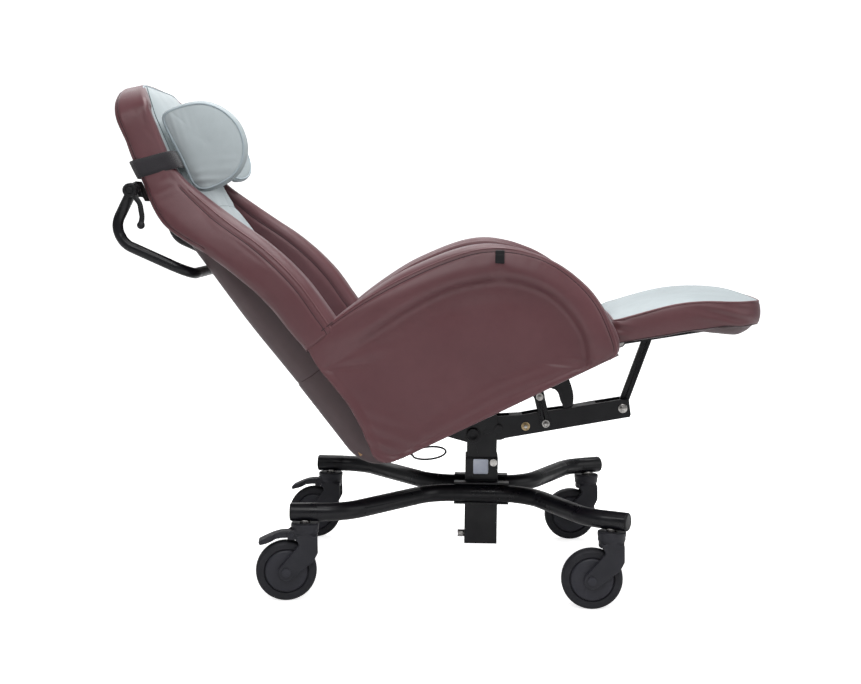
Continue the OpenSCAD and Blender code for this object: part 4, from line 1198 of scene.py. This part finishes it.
head, hup, hlo = pillow("headrest_pad_cover", hp, hp_top, lambda a, b, s: np.full(len(a), -282.0), 2.0, "headrest", M["grey"], lambda v: seat(np.column_stack([v[:, 2], v[:, 1], v[:, 0]])), cap=0.005)
seam("headrest_pad_piping", head, hup, "headrest", M["grey_piping"], 0.0022, 0.0004, True, 300, 0.007, 0.0008)
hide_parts("headrest_pad")

EAR = [(-24, 800), (-25, 760), (-25, 742), (-20, 728), (-8, 719), (8, 715), (30, 713), (59, 716), (82, 726), (100, 743), (112, 762), (119, 788), (119, 815), (110, 842), (95, 865), (76, 882), (51, 893), (22, 899), (0, 901), (-15, 898), (-23, 888), (-24, 860)]


def build_ear(side):
    sg = -1 if side == "right" else 1
    jt = J["headrest_ear_fold_" + side]
    # the hinge line of this ear, in the seat frame
    hx, hz = jt["pos_m"][0] - PX, jt["pos_m"][2] - PZ
    hu = (hx * CA + hz * SA) * 1000
    hy = jt["pos_m"][1] * 1000
    box_lo, box_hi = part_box("headrest_ear_" + side)
    width = (box_hi.y - box_lo.y) * 1000
    fold = 90 if width < 60 else 20
    out = resample(smooth_poly(EAR, 2, True), 170, True)
    th, off, c = (19.0, 0.0, (45, 805)) if side == "right" else (12.5, 4.0, (45, 805))
    if side == "left":  # the far ear lies nearly flat beside the pad
        out = np.array([38.0, 818.0]) + (out - np.array(c)) * 0.84
        c = (38, 818)

    def conv(v):
        # v: (forward, w, across); turned about the hinge line
        a = math.radians((fold - 90) if side == "right" else (90 - fold))
        x, y = v[:, 0], v[:, 2] * (1 if side == "right" else -1)
        X = x * math.cos(a) - y * math.sin(a)
        Y = x * math.sin(a) + y * math.cos(a)
        return seat(np.column_stack([hu + X, hy + Y, v[:, 1]]))

    def face(sign):
        def f(a, b, s):
            # fuller in the middle, thin at the root
            root = np.clip((a + 20) / 22, 0, 1)
            return sign * (th - 4.0 * s**5 - 6 * (1 - root) ** 2) + off

        return f

    o, up, lo = pillow("headrest_ear_%s_cover" % side, out, face(-1), face(1), 1.6, "headrest_ear_" + side, M["grey"], conv, inner=c, cap=0.004, band=5, inset=5.0 if side == "right" else 3.0)

    def folds(co):
        # gathered cover at the lower root corner
        p = conv(np.array([[2.0, 735.0, -17.0]]))[0]
        q = conv(np.array([[60.0, 745.0, -17.0]]))[0]
        k = near(co, p, 0.026) + 0.4 * near(co, q, 0.02)
        d = (co - p) @ np.array([SA * 0.3 - 0.2, 0, 0.95])
        k2 = near(co, conv(np.array([[-8.0, 860.0, -17.0]]))[0], 0.03)
        d2 = (co - p) @ np.array([0.9, 0, 0.3])
        return 0.0013 * k * np.sin(d * 330 + 2.2 * fnoise(co, 22.0, 1.9)) + 0.0006 * k2 * np.sin(d2 * 500) + 0.0006 * fnoise(co, 18.0, 6.1)

    ripple(o, folds)
    for nm, ln in (("outer", up), ("inner", lo)):
        seam("headrest_ear_%s_%s_piping" % (side, nm), o, ln, "headrest_ear_" + side, M["grey_piping"], 0.0022, 0.0005, True, 260, 0.006, 0.0008)
    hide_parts("headrest_ear_" + side)
    return o


ear_r = build_ear("right")
ear_l = build_ear("left")


# strap round the back of the band, a little lower at the front
def build_strap():
    r = 16.0
    ur, uf, hy = -371.5, -284.0, 258.5
    loop = []
    for cx, cy, a in ((uf - r, hy - r, 0), (ur + r, hy - r, 90), (ur + r, -hy + r, 180), (uf - r, -hy + r, 270)):
        loop += [(cx + r * math.cos(math.radians(a + t)), cy + r * math.sin(math.radians(a + t))) for t in np.linspace(0, 90, 9)]
    loop = resample(loop, 260, True)
    nx = np.gradient(np.vstack([loop[-1:], loop, loop[:1]]), axis=0)[1:-1]
    nrm = np.column_stack([nx[:, 1], -nx[:, 0]])
    nrm /= np.linalg.norm(nrm, axis=1)[:, None]
    sec = [(-18.6, 0.0), (-19, 0.8), (-18.4, 1.5), (-9, 1.9), (0, 2.0), (9, 1.9), (18.4, 1.5), (19, 0.8), (18.6, 0.0), (9, 0), (0, 0), (-9, 0)]
    rings = []
    for dw, dn in sec:
        p = loop + nrm * dn
        w = 816.5 + dw - 0.2 * np.clip(p[:, 0] - ur, 0, 90)
        rings.append(np.column_stack([p[:, 0], p[:, 1], w]))
    rings.append(rings[0])
    v, f, _ = loft(rings, None, None)
    o = mesh_obj("headrest_strap_web", seat(v), f, M["web"], "headrest")
    bm = bmesh.new()
    bm.from_mesh(o.data)
    bmesh.ops.remove_doubles(bm, verts=bm.verts, dist=1e-6)
    bmesh.ops.recalc_face_normals(bm, faces=bm.faces)
    bm.to_mesh(o.data)
    bm.free()
    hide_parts("headrest_strap")
    return o


strap = build_strap()


# ---------------------------------------------------------------- small hardware
def lathe(name, profile, at, axis, mat, body, seg=40, hexa=None):
    """profile: (radius, height) mm, turned about axis through at (m). hexa: profile rows drawn as a hexagon"""
    ax = Vector(axis).normalized()
    e1 = ax.orthogonal().normalized()
    e2 = ax.cross(e1)
    rings = []
    for i, (r, h) in enumerate(profile):
        ring = []
        for k in range(seg):
            a = 2 * math.pi * k / seg
            rr = r
            if hexa and i in hexa:
                q = (a + math.pi / 6) % (math.pi / 3) - math.pi / 6
                rr = r * math.cos(math.pi / 6) / math.cos(q)
            ring.append(np.array(Vector(at) + (e1 * math.cos(a) + e2 * math.sin(a)) * rr / 1000 + ax * h / 1000))
        rings.append(np.array(ring))
    v, f, _ = loft(rings)
    o = mesh_obj(name, v, f, mat, body)
    outward(o)
    sharp(o, 38)
    return o


def nut(name, at, sg, mat, body, s=1.0):
    """washer, hexagon nut and rounded thread end on a pin, on the side sg of the chair"""
    ax = (0, sg, 0)
    lathe(name + "_washer", [(5 * s, 0), (9.6 * s, 0), (10 * s, 0.3), (10 * s, 1.3), (9.6 * s, 1.6), (4 * s, 1.6)], at, ax, mat, body)
    lathe(name + "_nut", [(4 * s, 1.5), (7.6 * s, 1.5), (8 * s, 2.0), (8 * s, 5.6), (7.4 * s, 6.6), (5.2 * s, 7.0), (4.6 * s, 6.4)], at, ax, mat, body, 48, (1, 2, 3, 4))
    lathe(name + "_end", [(4.2 * s, 5.0), (4.2 * s, 8.2), (3.6 * s, 9.0), (1.5 * s, 9.3)], at, ax, M["steel"], body)


def pin_at(joint):
    p = J[joint]["pos_m"]
    return np.array([p[0], 0, p[2]])


def pin_world(x, z):
    return np.array([CX + x / 1000, 0, z / 1000])


for sg, nm in ((-1, "r"), (1, "l")):
    y = lambda v: np.array([0, sg * v / 1000, 0])
    nut("bolt_spacer_" + nm, pin_world(96, 328.5) + y(26.6), sg, M["gold"], "lever_arm", 0.95)
    nut("bolt_link_" + nm, pin_at("short_link_pivot") + y(34.4), sg, M["steel"], "lever_arm", 0.85)
    nut("bolt_strut_" + nm, pin_at("strut_pivot") + y(26.6), sg, M["steel"], "lever_arm", 1.0)
    nut("bolt_frame_" + nm, pin_world(124.9, 396.0) + y(34.6), sg, M["steel"], "seat", 0.8)
    # pivot boss cap: recessed black disc
    lathe("pivot_cap_" + nm, [(4, -0.5), (4, 1.2), (8, 1.6), (9.5, 2.6), (12.5, 3.2), (14.2, 2.4), (14.8, 0.2), (14.8, -2)], pin_at("seat_tilt") + y(49), (0, sg, 0), M["black"], "column")
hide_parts("lever_bolts")
# the shank parts of the lever bolts, drawn again as turned pins
for nm, p, h in (("spacer", pin_world(96, 328.5), 27), ("link", pin_at("short_link_pivot"), 35), ("strut", pin_at("strut_pivot"), 27)):
    lathe("lever_pin_" + nm, [(4.2, -h), (5, -h + 0.8), (5, h - 0.8), (4.2, h)], p, (0, 1, 0), M["steel"], "lever_arm")
lathe("lever_spacer", [(5, -18), (8.4, -18), (9, -17.4), (9, 17.4), (8.4, 18), (5, 18)], pin_world(96, 328.5), (0, 1, 0), M["steel"], "lever_arm")
for sg in (-1, 1):
    a = pin_at("strut_pivot") + np.array([0, sg * 0.0068, 0])
    lathe("strut_bush_%s" % ("r" if sg < 0 else "l"), [(5, 0), (7.4, 0), (8, 0.6), (8, 10.6), (7.4, 11.2), (5, 11.2)], a, (0, sg, 0), M["black"], "lever_arm")

# blank plate: rounded corners, raised rim
lo_, hi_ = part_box("blank_plate")
bx0, bx1, bz0, bz1 = lo_.x, hi_.x, lo_.z, hi_.z


def plate_rr(x0, x1, z0, z1, r, n=8):
    p = []
    for cx, cz, a in ((x1 - r, z1 - r, 0), (x0 + r, z1 - r, 90), (x0 + r, z0 + r, 180), (x1 - r, z0 + r, 270)):
        p += [(cx + r * math.cos(math.radians(a + t)), cz + r * math.sin(math.radians(a + t))) for t in np.linspace(0, 90, n)]
    return np.array(p)


rings = []
for ins, dy in ((0.0, 0), (0.0, 0.0007), (0.0004, 0.0010), (0.0012, 0.0010), (0.0016, 0.0007), (0.004, 0.0006), (0.010, 0.0006)):
    p = plate_rr(bx0 + ins, bx1 - ins, bz0 + ins, bz1 - ins, max(0.0008, 0.003 - ins))
    rings.append(np.column_stack([p[:, 0], np.full(len(p), hi_.y - dy), p[:, 1]]))
v, f, _ = loft(rings)
bp = mesh_obj("blank_plate_face", v, f, M["plate"], "base")
outward(bp)
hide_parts("blank_plate")

# release cable: a loop hanging below the shell
th = np.radians(np.linspace(-150, 190, 70))
loop = np.column_stack([-114 + 36 * np.cos(th), -165 + 27 * np.sin(th), 290 + 3.5 * np.cos(th) + 8.5 * np.sin(th)])
ends = np.array([[-163, -150, 299], [-156, -156, 294], [-150, -166, 289]])
cable = tube("tilt_cable_loop", resample(smooth_poly(world(np.vstack([ends[:2], loop, [[-156, -164, 291], [-166, -158, 297]]])), 1), 160), 0.0021, M["cable"], "seat", False, 8)
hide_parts("tilt_cable")


# ---------------------------------------------------------------- softened CAD mouldings
def soften(node, name, voxel, smooth, mat):
    """the CAD part with its edges and corners moulded round, on the same body"""
    src = nodes[node]
    me = src.data.copy()
    me.name = name
    o = bpy.data.objects.new(name, me)
    scene.collection.objects.link(o)
    bm = bmesh.new()
    bm.from_mesh(me)
    bmesh.ops.remove_doubles(bm, verts=bm.verts, dist=2e-5)
    bm.to_mesh(me)
    bm.free()
    me.materials.clear()
    me.materials.append(mat)
    remesh(o, voxel, smooth)
    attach(o, src["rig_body"])
    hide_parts(node)
    return o


for k in ("rr", "rl", "fr", "fl"):
    soften("castor_fork_" + k, "fork_moulding_" + k, 0.0016, 3, M["castor"])
for k in ("rr", "rl"):
    soften("brake_pedal_" + k, "pedal_moulding_" + k, 0.0016, 3, M["castor"])
soften("arm_tabs", "arm_tab_moulding", 0.0011, 2, M["black"])
soften("push_clamps", "push_clamp_moulding", 0.0015, 2, M["black"])
for s in ("right", "left"):
    soften("clamp_lever_" + s, "clamp_lever_moulding_" + s, 0.0013, 3, M["black"])

# ---------------------------------------------------------------- CAD nodes that stay
CAD_MAT = {
    "base_tube_right": "tube", "base_tube_left": "tube", "tube_caps": "black", "column_sleeve": "paint", "sleeve_collar": "black",
    "column_bolts": "steel", "castor_stems": "steel", "column_inner": "paint", "head_pins": "paint", "seat_frame": "paint",
    "frame_bolts": "steel", "seat_board": "wood", "tilt_cable": "cable", "lever_arm": "paint", "short_links": "paint",
    "legrest_frame": "paint", "leg_strut": "paint", "gas_spring_body": "paint", "gas_spring_rod": "rod", "push_bar": "tube",
}
for k in ("rr", "rl", "fr", "fl"):
    CAD_MAT["castor_axle_" + k] = "hub"
    CAD_MAT["wheel_hub_" + k] = "hub"
    CAD_MAT["wheel_tyre_" + k] = "tyre"
for n, o in nodes.items():
    if o.hide_render:
        continue
    mat = M[CAD_MAT.get(n, "paint")]
    if not o.data.materials:
        o.data.materials.append(mat)
    for i in range(len(o.data.materials)):
        o.data.materials[i] = mat
    w = o.modifiers.new("weld", "WELD")
    w.merge_threshold = 0.00002
    if n not in ("base_tube_right", "base_tube_left", "push_bar", "tilt_cable"):
        b = o.modifiers.new("round", "BEVEL")
        b.width, b.segments, b.limit_method, b.angle_limit = 0.0007, 2, "ANGLE", math.radians(40)
        b.use_clamp_overlap = True

# ---------------------------------------------------------------- stage
def stage_mat():
    m = Mat("studio_white")
    c = m.mix(m.span(m.noise(3, 2), 0, 1), (0.90, 0.90, 0.90, 1), (0.92, 0.92, 0.92, 1))
    m.set(Base_Color=c, Roughness=0.9, Normal=m.bump(m.noise(200, 2), 0.02, 0.0005))
    m.b.inputs["Emission Color"].default_value = (1, 1, 1, 1)
    lp = m.n("ShaderNodeLightPath")
    m.link(m.math("MULTIPLY", lp.outputs["Is Camera Ray"], 0.75), m.b.inputs["Emission Strength"])
    return m.m


def build_stage():
    prof = [(-9.0, 0.0)] + [(y, 0.0) for y in np.linspace(-6, 3.4, 12)]
    prof += [(3.4 + 2.2 * math.sin(a), 2.2 - 2.2 * math.cos(a)) for a in np.radians(np.linspace(0, 90, 16))[1:]]
    prof += [(5.6, z) for z in (3.0, 5.0, 8.0)]
    xs = np.linspace(-9, 9, 19)
    v = [(x, y, z) for y, z in prof for x in xs]
    n = len(xs)
    f = [(i * n + j, i * n + j + 1, (i + 1) * n + j + 1, (i + 1) * n + j) for i in range(len(prof) - 1) for j in range(n - 1)]
    me = bpy.data.meshes.new("studio_floor")
    me.from_pydata(v, [], f)
    me.materials.append(stage_mat())
    me.polygons.foreach_set("use_smooth", [True] * len(me.polygons))
    o = bpy.data.objects.new("studio_floor", me)
    scene.collection.objects.link(o)


build_stage()


def area(name, loc, target, size, power, color=(1, 1, 1)):
    d = bpy.data.lights.new(name, "AREA")
    d.shape = "RECTANGLE"
    d.size, d.size_y = size
    d.energy = power
    d.color = color
    o = bpy.data.objects.new(name, d)
    o.location = loc
    o.rotation_euler = (Vector(target) - Vector(loc)).to_track_quat("-Z", "Y").to_euler()
    scene.collection.objects.link(o)


area("soft_top", (0.2, 0.1, 3.2), (0, 0, 0.3), (3.0, 2.2), 100)
area("soft_front", (-0.5, -2.7, 2.7), (0, 0, 0.45), (3.0, 1.2), 52)
area("soft_right", (3.2, -1.2, 1.7), (0.1, 0, 0.5), (2.0, 2.2), 20)
area("soft_back", (-1.0, 2.6, 2.4), (0, 0, 0.6), (3.0, 1.6), 20)
wd = bpy.data.worlds.new("studio")
scene.world = wd
wd.use_nodes = True
wd.node_tree.nodes["Background"].inputs[0].default_value = (0.98, 0.99, 1.0, 1)
wd.node_tree.nodes["Background"].inputs[1].default_value = 0.26
scene.view_settings.view_transform = "Standard"
scene.view_settings.look = "None"

# camera at the fitted place: position, yaw, pitch and roll in the row frame
F_PX, CAM_X, CAM_Y, CAM_Z, YAW, PITCH, ROLL = 1386.78, -0.0440, -3.0629, 0.8097, -1.37, 5.59, 0.72
yaw, pit, rol = (math.radians(a) for a in (YAW, PITCH, ROLL))
fw = Vector((math.sin(yaw) * math.cos(pit), math.cos(yaw) * math.cos(pit), -math.sin(pit)))
rt = Vector((math.cos(yaw), -math.sin(yaw), 0))
upv = rt.cross(fw)
r2 = rt * math.cos(rol) + upv * math.sin(rol)
u2 = -rt * math.sin(rol) + upv * math.cos(rol)
cam_d = bpy.data.cameras.new("camera")
cam_d.sensor_fit = "HORIZONTAL"
cam_d.sensor_width = 36.0
cam_d.lens = F_PX * 36.0 / 861
cam_d.clip_start, cam_d.clip_end = 0.05, 60
cam = bpy.data.objects.new("camera", cam_d)
cam.matrix_world = Matrix(((r2.x, u2.x, -fw.x, CX + CAM_X), (r2.y, u2.y, -fw.y, CAM_Y), (r2.z, u2.z, -fw.z, CAM_Z), (0, 0, 0, 1)))
scene.collection.objects.link(cam)
scene.camera = cam
